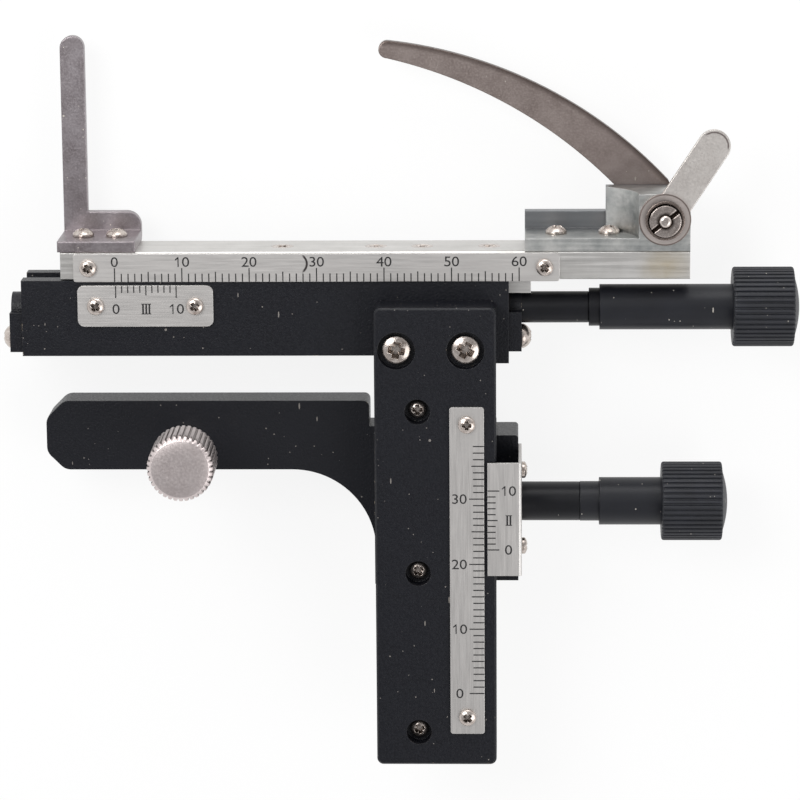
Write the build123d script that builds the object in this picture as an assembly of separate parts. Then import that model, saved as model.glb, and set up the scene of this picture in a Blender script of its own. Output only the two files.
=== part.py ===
from build123d import *
from math import acos, asin, atan2, cos, pi, radians, sin, tan
import os

# The stage lies in the XY plane of a microscope's stage plate, whose top is at Z = 0.
# X runs along the slide holder, Y towards the two fingers, Z up and away from the stage plate.
# The origin is on the clamp screw's axis, at the underside of the clamp arm.

# Clearances
running_gap = 0.05
sliding_gap = 0.1
free_gap = 0.3

# Clamp arm and guide body of the base
arm_thickness = 6.0
arm_width = 10.65
arm_rear_y = 6.05
arm_reach = 21.9
arm_corner_cut = 2.7
arm_corner_round = 2.0
web_radius = 12.6
notch_round = 0.9
notch_to_guide = 0.9
column_x = 37.2
guide_half_width = 9.3
guide_rear_y = 2.1
guide_length = 23.2
block_width = 3.3
block_height = 9.2
block_rear_y = 1.4
block_corner_round = 0.5

# Clamp screw, captive: its neck slides in the arm's hole and its thread stays below
neck_diameter = 3.3
clamp_thread_diameter = 4.0
clamp_thread_length = 4.0
clamp_lift = 9.5
clamp_washer_thickness = 0.8
clamp_washer_diameter = 8.4
clamp_shoulder_height = 1.0
clamp_shoulder_diameter = 7.1
clamp_head_diameter = 9.9
clamp_head_height = 8.2
clamp_face_diameter = 8.6
clamp_knurl_count = 36
clamp_knurl_depth = 0.3
clamp_knurl_crest_share = 0.5

# Locating pins under the arm
pin_diameter = 2.5
pin_depth = 4.0
pin_drop = 3.0
pin_spacing = 24.0
pin_tip_break = 0.3
pin_spigot_diameter = 2.0
pin_relief_diameter = 3.1
pin_relief_depth = 0.4

# Column, the part that slides along Y
column_width = 18.0
column_length = 70.0
column_thickness = 6.0
column_rear_y = 22.4
column_bottom_z = 11.5
column_corner_round = 1.0
column_edge_break = 0.25

# Dovetail and rack under the column
dovetail_neck = 7.0
dovetail_height = 3.1
dovetail_angle = 60.0
dovetail_front_inset = 2.0
dovetail_rear_gap = 2.5
rack_width = 3.6
rack_depth = 2.0
rack_pitch_line_drop = 2.5
rack_screw_tip_gap = 0.5

# Rack and pinion teeth
gear_module = 0.5
root_depth_modules = 1.25
pinion_teeth = 12
pressure_angle = 25.0
tooth_backlash = 0.06
pinion_face = 3.0
drive_shaft_diameter = 3.0
pinion_y = -9.5
pinion_journal_length = 4.0

# Y drive outside the block
y_tube_diameter = 5.9
y_tube_length = 9.2
y_tube_grip = 6.0
y_collar_diameter = 6.0
y_collar_length = 2.9
y_sleeve_diameter = 7.2
y_sleeve_length = 9.4

# Knobs, alike on both drives
knob_diameter = 11.9
knob_length = 9.1
knob_dome_height = 0.85
knob_dome_inset = 1.1
knob_rib_count = 45
knob_rib_depth = 0.3
knob_rib_crest_share = 0.3
knob_shaft_depth = 6.5

# Scale plates
plate_thickness = 0.5
y_scale_width = 5.1
y_scale_rear_inset = 14.8
y_scale_edge_inset = 1.8
y_scale_front_inset = 5.0
y_scale_screw_inset = 2.6
plate_corner_round = 0.4
x_scale_screw_inset = 2.2
x_scale_length = 72.1
x_scale_width = 4.2
x_scale_overhang = 0.2
x_scale_left_inset = 2.0
x_vernier_length = 20.2
x_vernier_width = 6.2
x_vernier_left_inset = 8.45
x_vernier_rear_inset = 0.65
x_vernier_round = 1.0
x_vernier_screw_inset = 2.7
y_vernier_length = 17.2
y_vernier_front_inset = 3.1
y_vernier_overlap = 4.6
y_vernier_flange_drop = 15.0
y_vernier_screw_spacing = 11.8
y_vernier_screw_drop = 10.4
y_vernier_screw_shift = -0.7
y_vernier_bend_round = 0.45
y_vernier_flange_round = 2.0

# Beam, the channel that carries the X drive
beam_length = 72.55
beam_left_reach = 61.65
beam_depth = 11.4
beam_height = 9.3
beam_rear_y = 25.5
slot_height = 4.1
slot_lip_low = 2.3
slot_wall = 2.8
cavity_height = 5.6
cavity_depth = 4.8
beam_boss_depth = 1.2
end_plate_thickness = 1.9
end_plate_margin = 0.5
end_boss_diameter = 4.9
end_screw_inset = 2.0
end_screw_depth = 4.0
end_journal_wall = 0.5

# Lead screw and X drive
lead_screw_diameter = 3.0
lead_journal_diameter = 2.0
x_shaft_diameter = 2.4
lead_axis_inset = 5.0
lead_axis_height = 4.3
x_tube_diameter = 4.7
x_tube_spigot = 3.6
x_tube_length = 9.95
x_collar_diameter = 5.7
x_collar_length = 1.6
x_sleeve_diameter = 6.8
x_sleeve_length = 19.8
nut_length = 8.0
nut_screw_depth = 0.8

# Slide holder bar with its tongue
bar_length = 93.4
bar_right_overhang = 26.8
bar_depth = 4.2
bar_height = 10.0
bar_edge_break = 0.2
tongue_length = 42.0
tongue_overrun = 3.3

# Screws: head diameter, head height, shank diameter
big_head = (4.2, 1.5, 2.5)
small_head = (2.6, 1.0, 1.4)
scale_head = (2.5, 0.9, 1.4)
finger_head = (3.2, 1.2, 2.0)
dome_head = (3.7, 1.55, 2.0)
sunk_head = (3.3, 1.0, 2.0)
pan_rim_share = 0.45
scale_screw_length = 2.0
finger_screw_end_gap = 0.6
beam_screw_depth = 4.5
beam_screw_spacing = 10.2
beam_screw_offset = -0.6
beam_screw_inset = 6.4
big_counterbore = 5.6
big_counterbore_depth = 1.7
small_counterbore = 3.8
small_counterbore_depth = 2.4
rack_screw_x = -2.65
rack_screw_rear_inset = 15.6
rack_screw_front_inset = 5.1
bar_screw_places = (-22.9, -8.9, -2.0, 8.0)

# Fixed finger, bent from sheet
sheet_thickness = 1.6
finger_lift = 0.2
fixed_strip_width = 3.6
fixed_finger_reach = 31.0
fixed_flange_length = 11.6
fixed_bend_round = 1.3
seat_depth = 4.5
foot_round = 2.2
fixed_finger_overhang = 0.4
fixed_screw_left = 3.0
fixed_screw_spacing = 5.0

# Bracket and the sprung finger on its pivot
bracket_length = 24.4
bracket_flange = 1.9
bracket_plate_thickness = 2.0
block_length = 12.3
finger_block_depth = 6.55
cove_radius = 8.0
cove_inset = 4.7
bracket_screw_inset = 11.9
bracket_screw_spacing = 7.85
pivot_right_inset = 3.8
pivot_depth = 2.9
pivot_diameter = 3.0
pivot_thread_diameter = 1.9
spring_diameter = 4.8
spring_wire = 0.5
spring_turns = 3.5
spring_turn_pitch = 0.58
spring_pocket_depth = 4.0
lever_thickness = 0.8
lever_hub_diameter = 7.7
lever_width = 4.9
lever_length = 13.0
lever_angle = 56.9
cup_diameter = 5.8
cup_height = 0.9
cup_floor = 0.45
cup_rim = 0.4
pivot_nut_diameter = 4.7
pivot_nut_height = 1.2
pivot_nut_slot = 0.6
pivot_nut_slot_angle = 38.0
pivot_tip_height = 0.4
finger_hub_diameter = 5.2
finger_tip_x = -41.1
finger_tip_y = 24.0
finger_tip_round = 1.3
finger_back_x = -19.2
finger_back_y = 19.0
finger_root_x = 0.9
finger_root_y = 4.2
finger_inner_x = -23.6
finger_inner_y = 16.0
finger_heel_x = -7.0
finger_heel_y = 3.4

# Places worked out from the sizes above
arm_front_y = arm_rear_y - arm_width
guide_left_x = column_x - guide_half_width
guide_right_x = column_x + column_width / 2
guide_front_y = guide_rear_y - guide_length
guide_top_z = column_bottom_z - free_gap
block_right_x = guide_right_x + block_width
column_top_z = column_bottom_z + column_thickness
column_front_y = column_rear_y - column_length
column_right_x = column_x + column_width / 2
dovetail_bottom_z = column_bottom_z - dovetail_height
dovetail_flare = dovetail_height / tan(radians(dovetail_angle))
dovetail_front_y = column_front_y + dovetail_front_inset
rack_pitch_z = column_bottom_z - rack_pitch_line_drop
pitch_radius = gear_module * pinion_teeth / 2
pinion_z = rack_pitch_z - pitch_radius
shaft_bore = drive_shaft_diameter + 2 * running_gap
pocket_half_length = pitch_radius + gear_module + free_gap + 0.1
pocket_half_width = pinion_face / 2 + free_gap
beam_left_x = column_x - beam_left_reach
beam_right_x = beam_left_x + beam_length
beam_front_y = beam_rear_y - beam_depth
beam_top_z = column_bottom_z
beam_bottom_z = beam_top_z - beam_height
boss_front_y = beam_front_y - beam_boss_depth
dovetail_length = boss_front_y - dovetail_rear_gap - dovetail_front_y
slot_bottom_z = beam_bottom_z + slot_lip_low
slot_top_z = slot_bottom_z + slot_height
lead_y = beam_rear_y - lead_axis_inset
lead_z = beam_bottom_z + lead_axis_height
cavity_rear_y = beam_rear_y - slot_wall
cavity_front_y = cavity_rear_y - cavity_depth
bar_front_y = beam_rear_y + sliding_gap
bar_rear_y = bar_front_y + bar_depth
bar_right_x = beam_right_x + bar_right_overhang
bar_left_x = bar_right_x - bar_length
bar_top_z = beam_top_z
bar_bottom_z = bar_top_z - bar_height
seat_rear_y = bar_rear_y + seat_depth
bracket_left_x = bar_right_x - bracket_length
finger_block_left_x = bar_right_x - block_length
finger_block_rear_y = bar_rear_y + bracket_flange + finger_block_depth
finger_top_z = finger_lift + sheet_thickness
pivot_x = bar_right_x - pivot_right_inset
pivot_y = bar_rear_y + bracket_flange + pivot_depth
washer_bottom_z = arm_thickness + clamp_lift
washer_top_z = washer_bottom_z + clamp_washer_thickness
clamp_head_z = washer_top_z + running_gap + clamp_shoulder_height
y_vernier_front_y = guide_front_y + y_vernier_front_inset
y_vernier_bottom_z = column_top_z + free_gap
y_vernier_top_z = y_vernier_bottom_z + plate_thickness
y_vernier_outer_x = block_right_x + plate_thickness
beam_screw_y = column_rear_y - beam_screw_inset
beam_screw_x = column_x + beam_screw_offset
beam_screw_xs = [beam_screw_x - beam_screw_spacing / 2, beam_screw_x + beam_screw_spacing / 2]
rack_screw_span = column_length - rack_screw_rear_inset - rack_screw_front_inset
rack_screw_ys = [column_rear_y - rack_screw_rear_inset - share * rack_screw_span for share in (0, 0.5, 1)]
end_screw_y = beam_front_y + end_screw_inset
y_collar_x = block_right_x + y_tube_length + sliding_gap
y_sleeve_x = y_collar_x + y_collar_length
y_knob_x = y_sleeve_x + y_sleeve_length
x_tube_x = beam_right_x + end_plate_thickness
x_collar_x = x_tube_x + x_tube_length + sliding_gap
x_sleeve_x = x_collar_x + x_collar_length
x_knob_x = x_sleeve_x + x_sleeve_length
tongue_right_x = beam_right_x + tongue_overrun
tongue_left_x = tongue_right_x - tongue_length
tongue_front_y = lead_y + x_tube_diameter / 2 + 1.5 * sliding_gap
tongue_bottom_z = slot_bottom_z + sliding_gap
tongue_top_z = slot_top_z - sliding_gap
nut_right_x = beam_right_x - free_gap
nut_left_x = nut_right_x - nut_length
bar_screw_z = (slot_bottom_z + slot_top_z) / 2
bar_screw_xs = [column_x + place for place in bar_screw_places]
nut_screw_x = bar_screw_xs[-1]
lever_bottom_z = bar_top_z + sliding_gap
cup_bottom_z = lever_bottom_z + lever_thickness
pivot_nut_z = cup_bottom_z + cup_floor


def save(name, shape):
    shape.label = name
    export_step(shape, os.path.join("parts", name + ".step"))


def block(x0, x1, y0, y1, z0, z1):
    return Pos((x0 + x1) / 2, (y0 + y1) / 2, (z0 + z1) / 2) * Box(x1 - x0, y1 - y0, z1 - z0)


def rod_z(x, y, z0, z1, diameter):
    return Pos(x, y, (z0 + z1) / 2) * Cylinder(diameter / 2, z1 - z0)


def rod_x(x0, x1, y, z, diameter):
    return Pos((x0 + x1) / 2, y, z) * Rot(0, 90, 0) * Cylinder(diameter / 2, x1 - x0)


def rod_y(y0, y1, x, z, diameter):
    return Pos(x, (y0 + y1) / 2, z) * Rot(90, 0, 0) * Cylinder(diameter / 2, y1 - y0)


def group(shapes):
    return Compound(children=list(shapes))


def solid_of(shape):
    return shape.solids()[0]


def upright_edges(shape):
    return shape.edges().filter_by(Axis.Z)


def nearest(items, x, y, z=0.0):
    return items.sort_by_distance((x, y, z))[0]


def turned(points):
    outline = make_face(Polyline(*[(r, z) for r, z in points], close=True))
    return revolve(Plane.XZ * outline, Axis.Z)


# The arc of a spherical cap over a rim, seen in the plane of radius and height
def cap_arc(rim_radius, rim_height, top_height):
    rise = top_height - rim_height
    sphere = (rim_radius ** 2 + rise ** 2) / (2 * rise)
    half_angle = asin(rim_radius / sphere) / 2
    middle = (sphere * sin(half_angle), top_height - sphere * (1 - cos(half_angle)))
    return ThreePointArc((rim_radius, rim_height), middle, (0, top_height))


# A pan head screw whose seat is at Z = 0 and whose shank points down
def pan_screw(head, length):
    head_d, head_h, shank_d = head
    rim = head_h * pan_rim_share
    sides = Polyline(
        (0, head_h), (0, -length), (shank_d / 2, -length),
        (shank_d / 2, 0), (head_d / 2, 0), (head_d / 2, rim))
    return revolve(Plane.XZ * make_face([cap_arc(head_d / 2, rim, head_h), sides]), Axis.Z)


# A countersunk screw whose flat head is flush with Z = 0
def sunk_screw(head, length):
    head_d, head_h, shank_d = head
    return turned([(0, 0), (head_d / 2, 0), (shank_d / 2, -head_h), (shank_d / 2, -length), (0, -length)])


def sunk_hole(head, length):
    head_d, head_h, shank_d = head
    return turned([
        (0, head_h), (head_d / 2, head_h), (head_d / 2, 0),
        (shank_d / 2, -head_h), (shank_d / 2, -length), (0, -length)])


def facing_up(x, y, z):
    return Pos(x, y, z)


def facing_rear(x, y, z):
    return Pos(x, y, z) * Rot(-90, 0, 0)


def facing_right(x, y, z):
    return Pos(x, y, z) * Rot(0, 90, 0)


def facing_left(x, y, z):
    return Pos(x, y, z) * Rot(0, -90, 0)


def rounded_plate(x0, x1, y0, y1, z0, radius):
    plate = block(x0, x1, y0, y1, z0, z0 + plate_thickness)
    return fillet(upright_edges(plate), radius)


# Base bracket
def dovetail_section(gap):
    top_half = dovetail_neck / 2 + gap
    bottom_half = top_half + dovetail_flare
    return make_face(Polyline(
        (column_x - top_half, column_bottom_z), (column_x - bottom_half, dovetail_bottom_z - gap),
        (column_x + bottom_half, dovetail_bottom_z - gap), (column_x + top_half, column_bottom_z), close=True))


def base_outline():
    notch_x = guide_left_x - notch_to_guide
    cut = arm_corner_cut
    face = make_face(Polyline(
        (-arm_reach + cut, arm_rear_y), (notch_x, arm_rear_y), (notch_x, guide_rear_y),
        (guide_right_x, guide_rear_y), (guide_right_x, guide_front_y), (guide_left_x, guide_front_y),
        (guide_left_x, arm_front_y), (-arm_reach + cut, arm_front_y),
        (-arm_reach, arm_front_y + cut), (-arm_reach, arm_rear_y - cut), close=True))
    face = fillet(nearest(face.vertices(), guide_left_x, arm_front_y), web_radius)
    face = fillet(nearest(face.vertices(), notch_x, arm_rear_y), notch_round)
    ends = face.vertices().filter_by_position(Axis.X, -arm_reach - 0.01, -arm_reach + cut + 0.01)
    return fillet(ends, arm_corner_round)


def base_bracket():
    body = extrude(base_outline(), arm_thickness)
    body += block(guide_left_x, guide_right_x, guide_front_y, guide_rear_y, 0, guide_top_z)
    pinion_block = block(guide_right_x - 1, block_right_x, guide_front_y, block_rear_y, 0, block_height)
    corner = nearest(upright_edges(pinion_block), block_right_x, block_rear_y, block_height / 2)
    body += fillet(corner, block_corner_round)
    body -= extrude(Plane.XZ.offset(-guide_rear_y - 1) * dovetail_section(sliding_gap), guide_length + 2)
    body -= block(
        column_x - pocket_half_width, column_x + pocket_half_width,
        pinion_y - pocket_half_length, pinion_y + pocket_half_length, -1, dovetail_bottom_z)
    journal_end_x = column_x - pinion_face / 2 - pinion_journal_length - free_gap
    body -= rod_x(journal_end_x, column_x + 1, pinion_y, pinion_z, shaft_bore)
    body -= rod_x(column_x, block_right_x + 1, pinion_y, pinion_z, shaft_bore)
    body -= rod_x(block_right_x - y_tube_grip, block_right_x + 1, pinion_y, pinion_z, y_tube_diameter)
    body -= rod_z(0, 0, -1, arm_thickness + 1, clamp_thread_diameter + 2 * running_gap)
    for side in (-1, 1):
        body -= rod_z(side * pin_spacing / 2, 0, -1, pin_depth, pin_spigot_diameter)
        body -= rod_z(side * pin_spacing / 2, 0, -1, pin_relief_depth, pin_relief_diameter)
    for place in y_vernier_screw_places():
        body -= place * Cylinder(scale_head[2] / 2, 2 * scale_screw_length)
    return solid_of(body)


def locating_pins():
    for side in (-1, 1):
        pin = rod_z(side * pin_spacing / 2, 0, -pin_drop, 0, pin_diameter)
        pin = chamfer(pin.edges().group_by(Axis.Z)[0], pin_tip_break)
        yield solid_of(pin + rod_z(side * pin_spacing / 2, 0, 0, pin_depth, pin_spigot_diameter))


# Y vernier plate, bent over the block's side
def y_vernier_screw_places():
    middle = y_vernier_front_y + y_vernier_length / 2 + y_vernier_screw_shift
    for side in (-1, 1):
        y = middle + side * y_vernier_screw_spacing / 2
        yield facing_right(y_vernier_outer_x, y, y_vernier_top_z - y_vernier_screw_drop)


def y_vernier_plate():
    top = y_vernier_top_z
    left = y_vernier_outer_x - y_vernier_overlap - plate_thickness
    line = Polyline(
        (left, y_vernier_bottom_z), (block_right_x, y_vernier_bottom_z),
        (block_right_x, top - y_vernier_flange_drop), (y_vernier_outer_x, top - y_vernier_flange_drop),
        (y_vernier_outer_x, top), (left, top), close=True)
    face = fillet(nearest(make_face(line).vertices(), y_vernier_outer_x, top), y_vernier_bend_round)
    plate = extrude(Plane.XZ.offset(-y_vernier_front_y - y_vernier_length) * face, y_vernier_length)
    bottom = top - y_vernier_flange_drop
    for y in (y_vernier_front_y, y_vernier_front_y + y_vernier_length):
        corner = nearest(plate.edges().filter_by(Axis.X), y_vernier_outer_x, y, bottom)
        plate = fillet(corner, y_vernier_flange_round)
    inside = block_right_x - 1
    outside = y_vernier_outer_x + 1
    notch = y_tube_diameter + 2 * free_gap
    plate -= rod_x(inside, outside, pinion_y, pinion_z, notch)
    plate -= block(inside, outside, pinion_y - notch / 2, pinion_y + notch / 2, 0, pinion_z)
    for place in y_vernier_screw_places():
        plate -= place * Cylinder(scale_head[2] / 2, 2 * scale_screw_length)
    return solid_of(plate)


def y_vernier_screws():
    for place in y_vernier_screw_places():
        yield place * pan_screw(scale_head, scale_screw_length)


def y_bearing_tube():
    start = block_right_x - y_tube_grip
    end = block_right_x + y_tube_length
    tube = rod_x(start, end, pinion_y, pinion_z, y_tube_diameter)
    tube -= rod_x(start - 1, end + 1, pinion_y, pinion_z, shaft_bore)
    return solid_of(tube)


# Clamp screw with its washer
def clamp_washer():
    ring = rod_z(0, 0, washer_bottom_z, washer_top_z, clamp_washer_diameter)
    ring -= rod_z(0, 0, washer_bottom_z - 1, washer_top_z + 1, neck_diameter + 2 * running_gap)
    return solid_of(ring)


def knurl_outline(outer, depth, count, flat):
    points = []
    for tooth in range(count):
        for share, radius in ((0.0, outer), (flat, outer), (0.5, outer - depth), (0.5 + flat, outer - depth)):
            angle = 2 * pi * (tooth + share) / count
            points.append((radius * cos(angle), radius * sin(angle)))
    return make_face(Polyline(*points, close=True))


def clamp_screw():
    outer = clamp_head_diameter / 2
    top = clamp_head_height
    head = extrude(knurl_outline(outer, clamp_knurl_depth, clamp_knurl_count, clamp_knurl_crest_share), top)
    face = clamp_face_diameter / 2
    slope = (outer - face) / 2
    head &= turned([(0, 0), (outer - slope, 0), (outer, slope), (outer, top - slope), (face, top), (0, top)])
    body = Pos(0, 0, clamp_head_z) * head
    body += rod_z(0, 0, clamp_head_z - clamp_shoulder_height, clamp_head_z, clamp_shoulder_diameter)
    body += rod_z(0, 0, 0, clamp_head_z, neck_diameter)
    body += rod_z(0, 0, -clamp_thread_length, 0, clamp_thread_diameter)
    return solid_of(body)


# Column with its dovetail and rack
def column_plate():
    left = column_x - column_width / 2
    plate = block(left, column_right_x, column_front_y, column_rear_y, column_bottom_z, column_top_z)
    plate = fillet(upright_edges(plate), column_corner_round)
    plate = chamfer(plate.edges().group_by(Axis.Z)[-1], column_edge_break)
    for x in beam_screw_xs:
        seat = column_top_z - big_counterbore_depth
        plate -= rod_z(x, beam_screw_y, seat, column_top_z + 1, big_counterbore)
        plate -= rod_z(x, beam_screw_y, column_bottom_z - 1, column_top_z, big_head[2])
    for y in rack_screw_ys:
        x = column_x + rack_screw_x
        seat = column_top_z - small_counterbore_depth
        plate -= rod_z(x, y, seat, column_top_z + 1, small_counterbore)
        plate -= rod_z(x, y, column_bottom_z - 1, column_top_z, small_head[2])
    for x, y in y_scale_screw_places():
        plate -= rod_z(x, y, column_top_z - scale_screw_length, column_top_z + 1, scale_head[2])
    return solid_of(plate)


def y_dovetail():
    strip = extrude(Plane.XZ.offset(-dovetail_front_y - dovetail_length) * dovetail_section(0), dovetail_length)
    strip -= block(
        column_x - rack_width / 2, column_x + rack_width / 2, dovetail_front_y - 1,
        dovetail_front_y + dovetail_length + 1, dovetail_bottom_z - 1, dovetail_bottom_z + rack_depth)
    for y in rack_screw_ys:
        tip = dovetail_bottom_z + rack_screw_tip_gap
        strip -= rod_z(column_x + rack_screw_x, y, tip, column_bottom_z + 1, small_head[2])
    return solid_of(strip)


def y_rack():
    pitch = pi * gear_module
    slope = tan(radians(pressure_angle))
    half = (pitch / 2 - tooth_backlash) / 2
    root_depth = root_depth_modules * gear_module
    tip_z = rack_pitch_z - gear_module
    root_z = rack_pitch_z + root_depth
    tip_half = half - gear_module * slope
    root_half = half + root_depth * slope
    front = dovetail_front_y
    rear = dovetail_front_y + dovetail_length
    first = int((pinion_y - front) / pitch - 0.5) - 1
    last = int((rear - pinion_y) / pitch - 0.5) - 1
    top_z = dovetail_bottom_z + rack_depth
    points = [(front, top_z), (front, root_z)]
    for step in range(-first, last + 1):
        y = pinion_y + (step + 0.5) * pitch
        points += [(y - root_half, root_z), (y - tip_half, tip_z)]
        points += [(y + tip_half, tip_z), (y + root_half, root_z)]
    points += [(rear, root_z), (rear, top_z)]
    face = make_face(Polyline(*points, close=True))
    return solid_of(extrude(Plane.YZ.offset(column_x - rack_width / 2) * face, rack_width))


def rack_screws():
    seat = column_top_z - small_counterbore_depth
    length = seat - dovetail_bottom_z - rack_screw_tip_gap
    for y in rack_screw_ys:
        yield facing_up(column_x + rack_screw_x, y, seat) * pan_screw(small_head, length)


def y_scale_box():
    right = column_right_x - y_scale_edge_inset
    front = column_front_y + y_scale_front_inset
    return right - y_scale_width, right, front, column_rear_y - y_scale_rear_inset


def y_scale_screw_places():
    left, right, front, rear = y_scale_box()
    middle = (left + right) / 2
    return [(middle, front + y_scale_screw_inset), (middle, rear - y_scale_screw_inset)]


def y_scale_plate():
    plate = rounded_plate(*y_scale_box(), column_top_z, plate_corner_round)
    for x, y in y_scale_screw_places():
        plate -= rod_z(x, y, column_top_z - 1, column_top_z + 1, scale_head[2])
    return solid_of(plate)


def y_scale_screws():
    for x, y in y_scale_screw_places():
        yield facing_up(x, y, column_top_z + plate_thickness) * pan_screw(scale_head, scale_screw_length)


def beam_screws():
    seat = column_top_z - big_counterbore_depth
    length = seat - beam_top_z + beam_screw_depth
    for x in beam_screw_xs:
        yield facing_up(x, beam_screw_y, seat) * pan_screw(big_head, length)


# Beam with its end plates
def x_beam():
    boss_left_x = column_x - column_width / 2
    outline = make_face(Polyline(
        (beam_front_y, beam_bottom_z), (beam_rear_y, beam_bottom_z), (beam_rear_y, slot_bottom_z),
        (cavity_rear_y, slot_bottom_z), (cavity_rear_y, lead_z - cavity_height / 2),
        (cavity_front_y, lead_z - cavity_height / 2), (cavity_front_y, lead_z + cavity_height / 2),
        (cavity_rear_y, lead_z + cavity_height / 2), (cavity_rear_y, slot_top_z), (beam_rear_y, slot_top_z),
        (beam_rear_y, beam_top_z), (beam_front_y, beam_top_z), close=True))
    beam = extrude(Plane.YZ.offset(beam_left_x) * outline, beam_length)
    beam += block(boss_left_x, beam_right_x, boss_front_y, beam_front_y + 1, beam_bottom_z, beam_top_z)
    for x in beam_screw_xs:
        beam -= rod_z(x, beam_screw_y, beam_top_z - beam_screw_depth, beam_top_z + 1, big_head[2])
    for x, y in x_vernier_screw_places():
        beam -= rod_z(x, y, beam_top_z - scale_screw_length, beam_top_z + 1, scale_head[2])
    for x in (beam_left_x, beam_right_x):
        beam -= rod_x(x - end_screw_depth, x + end_screw_depth, end_screw_y, lead_z, dome_head[2])
    return solid_of(beam)


def end_plate(x0):
    x1 = x0 + end_plate_thickness
    low = beam_bottom_z + end_plate_margin
    high = beam_top_z - end_plate_margin
    plate = block(x0, x1, beam_front_y + end_plate_margin, lead_y, low, high)
    plate += rod_x(x0, x1, lead_y, lead_z, end_boss_diameter)
    plate -= rod_x(x0 - 1, x1 + 1, end_screw_y, lead_z, dome_head[2])
    return plate


def left_end_plate():
    x0 = beam_left_x - end_plate_thickness
    plate = end_plate(x0)
    bore = lead_journal_diameter + 2 * running_gap
    plate -= rod_x(x0 + end_journal_wall, beam_left_x + 1, lead_y, lead_z, bore)
    return solid_of(plate)


def right_end_plate():
    plate = end_plate(beam_right_x)
    plate -= rod_x(beam_right_x - 1, x_tube_x + 1, lead_y, lead_z, x_tube_spigot)
    return solid_of(plate)


def end_plate_screws():
    screw = pan_screw(dome_head, end_plate_thickness + end_screw_depth)
    yield facing_left(beam_left_x - end_plate_thickness, end_screw_y, lead_z) * screw
    yield facing_right(x_tube_x, end_screw_y, lead_z) * screw


def x_vernier_box():
    left = beam_left_x + x_vernier_left_inset
    rear = beam_rear_y - x_vernier_rear_inset
    return left, left + x_vernier_length, rear - x_vernier_width, rear


def x_vernier_screw_places():
    left, right, front, rear = x_vernier_box()
    middle = (front + rear) / 2
    return [(left + x_vernier_screw_inset, middle), (right - x_vernier_screw_inset, middle)]


def x_vernier_plate():
    plate = rounded_plate(*x_vernier_box(), beam_top_z, x_vernier_round)
    for x, y in x_vernier_screw_places():
        plate -= rod_z(x, y, beam_top_z - 1, beam_top_z + 1, scale_head[2])
    return solid_of(plate)


def x_vernier_screws():
    for x, y in x_vernier_screw_places():
        yield facing_up(x, y, beam_top_z + plate_thickness) * pan_screw(scale_head, scale_screw_length)


def x_bearing_tube():
    end = x_tube_x + x_tube_length
    tube = rod_x(x_tube_x, end, lead_y, lead_z, x_tube_diameter)
    tube += rod_x(beam_right_x, x_tube_x, lead_y, lead_z, x_tube_spigot)
    tube -= rod_x(beam_right_x - 1, end + 1, lead_y, lead_z, x_shaft_diameter + 2 * running_gap)
    return solid_of(tube)


# Drive parts: each lies along X from a start, on an axis at y, z
def ring_on_shaft(start, length, y, z, outer, inner):
    ring = rod_x(start, start + length, y, z, outer)
    ring -= rod_x(start - 1, start + length + 1, y, z, inner)
    return solid_of(ring)


def knob(start, y, z, shaft_d):
    outer = knob_diameter / 2
    total = knob_length + knob_dome_height
    grip = extrude(knurl_outline(outer, knob_rib_depth, knob_rib_count, knob_rib_crest_share), knob_length)
    dome_r = outer - knob_dome_inset
    base = Polyline((0, total), (0, knob_length - 1), (dome_r, knob_length - 1), (dome_r, knob_length))
    grip += revolve(Plane.XZ * make_face([cap_arc(dome_r, knob_length, total), base]), Axis.Z)
    grip -= rod_z(0, 0, -1, knob_shaft_depth, shaft_d)
    return solid_of(Pos(start, y, z) * Rot(0, 90, 0) * grip)


def gear_face():
    root = pitch_radius - root_depth_modules * gear_module
    tip = pitch_radius + gear_module
    base = pitch_radius * cos(radians(pressure_angle))
    half = (pi * gear_module / 2 - tooth_backlash) / (2 * pitch_radius)
    spread = half + tan(radians(pressure_angle)) - radians(pressure_angle)

    def flank(radius):
        angle = acos(min(1.0, base / radius))
        return spread - (tan(angle) - angle)

    radii = [base, base + (tip - base) * 0.35, base + (tip - base) * 0.7, tip]
    edges = []
    step = 2 * pi / pinion_teeth

    def at(radius, angle):
        return radius * cos(angle), radius * sin(angle)

    for tooth in range(pinion_teeth):
        middle = pi / 2 + tooth * step
        rise = [at(r, middle - flank(r)) for r in radii]
        fall = [at(r, middle + flank(r)) for r in reversed(radii)]
        foot_in = at(root, middle - spread)
        foot_out = at(root, middle + spread)
        next_foot = at(root, middle + step - spread)
        edges += [Line(foot_in, rise[0]), Spline(*rise), ThreePointArc(rise[-1], at(tip, middle), fall[0])]
        edges += [Spline(*fall), Line(fall[-1], foot_out)]
        edges += [ThreePointArc(foot_out, at(root, middle + step / 2), next_foot)]
    return make_face(edges)


def y_pinion():
    gear = extrude(gear_face(), pinion_face)
    gear -= rod_z(0, 0, -1, pinion_face + 1, drive_shaft_diameter)
    place = Plane(origin=(column_x - pinion_face / 2, pinion_y, pinion_z), x_dir=(0, 1, 0), z_dir=(1, 0, 0))
    return solid_of(place.location * gear)


def y_shaft():
    start = column_x - pinion_face / 2 - pinion_journal_length
    shaft = rod_x(start, y_knob_x + knob_shaft_depth, pinion_y, pinion_z, drive_shaft_diameter)
    return solid_of(shaft)


def lead_screw():
    journal_start = beam_left_x - end_plate_thickness + end_journal_wall + free_gap
    screw_start = beam_left_x + sliding_gap
    screw_end = beam_right_x - sliding_gap
    screw = rod_x(journal_start, screw_start, lead_y, lead_z, lead_journal_diameter)
    screw += rod_x(screw_start, screw_end, lead_y, lead_z, lead_screw_diameter)
    screw += rod_x(screw_end, x_knob_x + knob_shaft_depth, lead_y, lead_z, x_shaft_diameter)
    return solid_of(screw)


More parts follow.
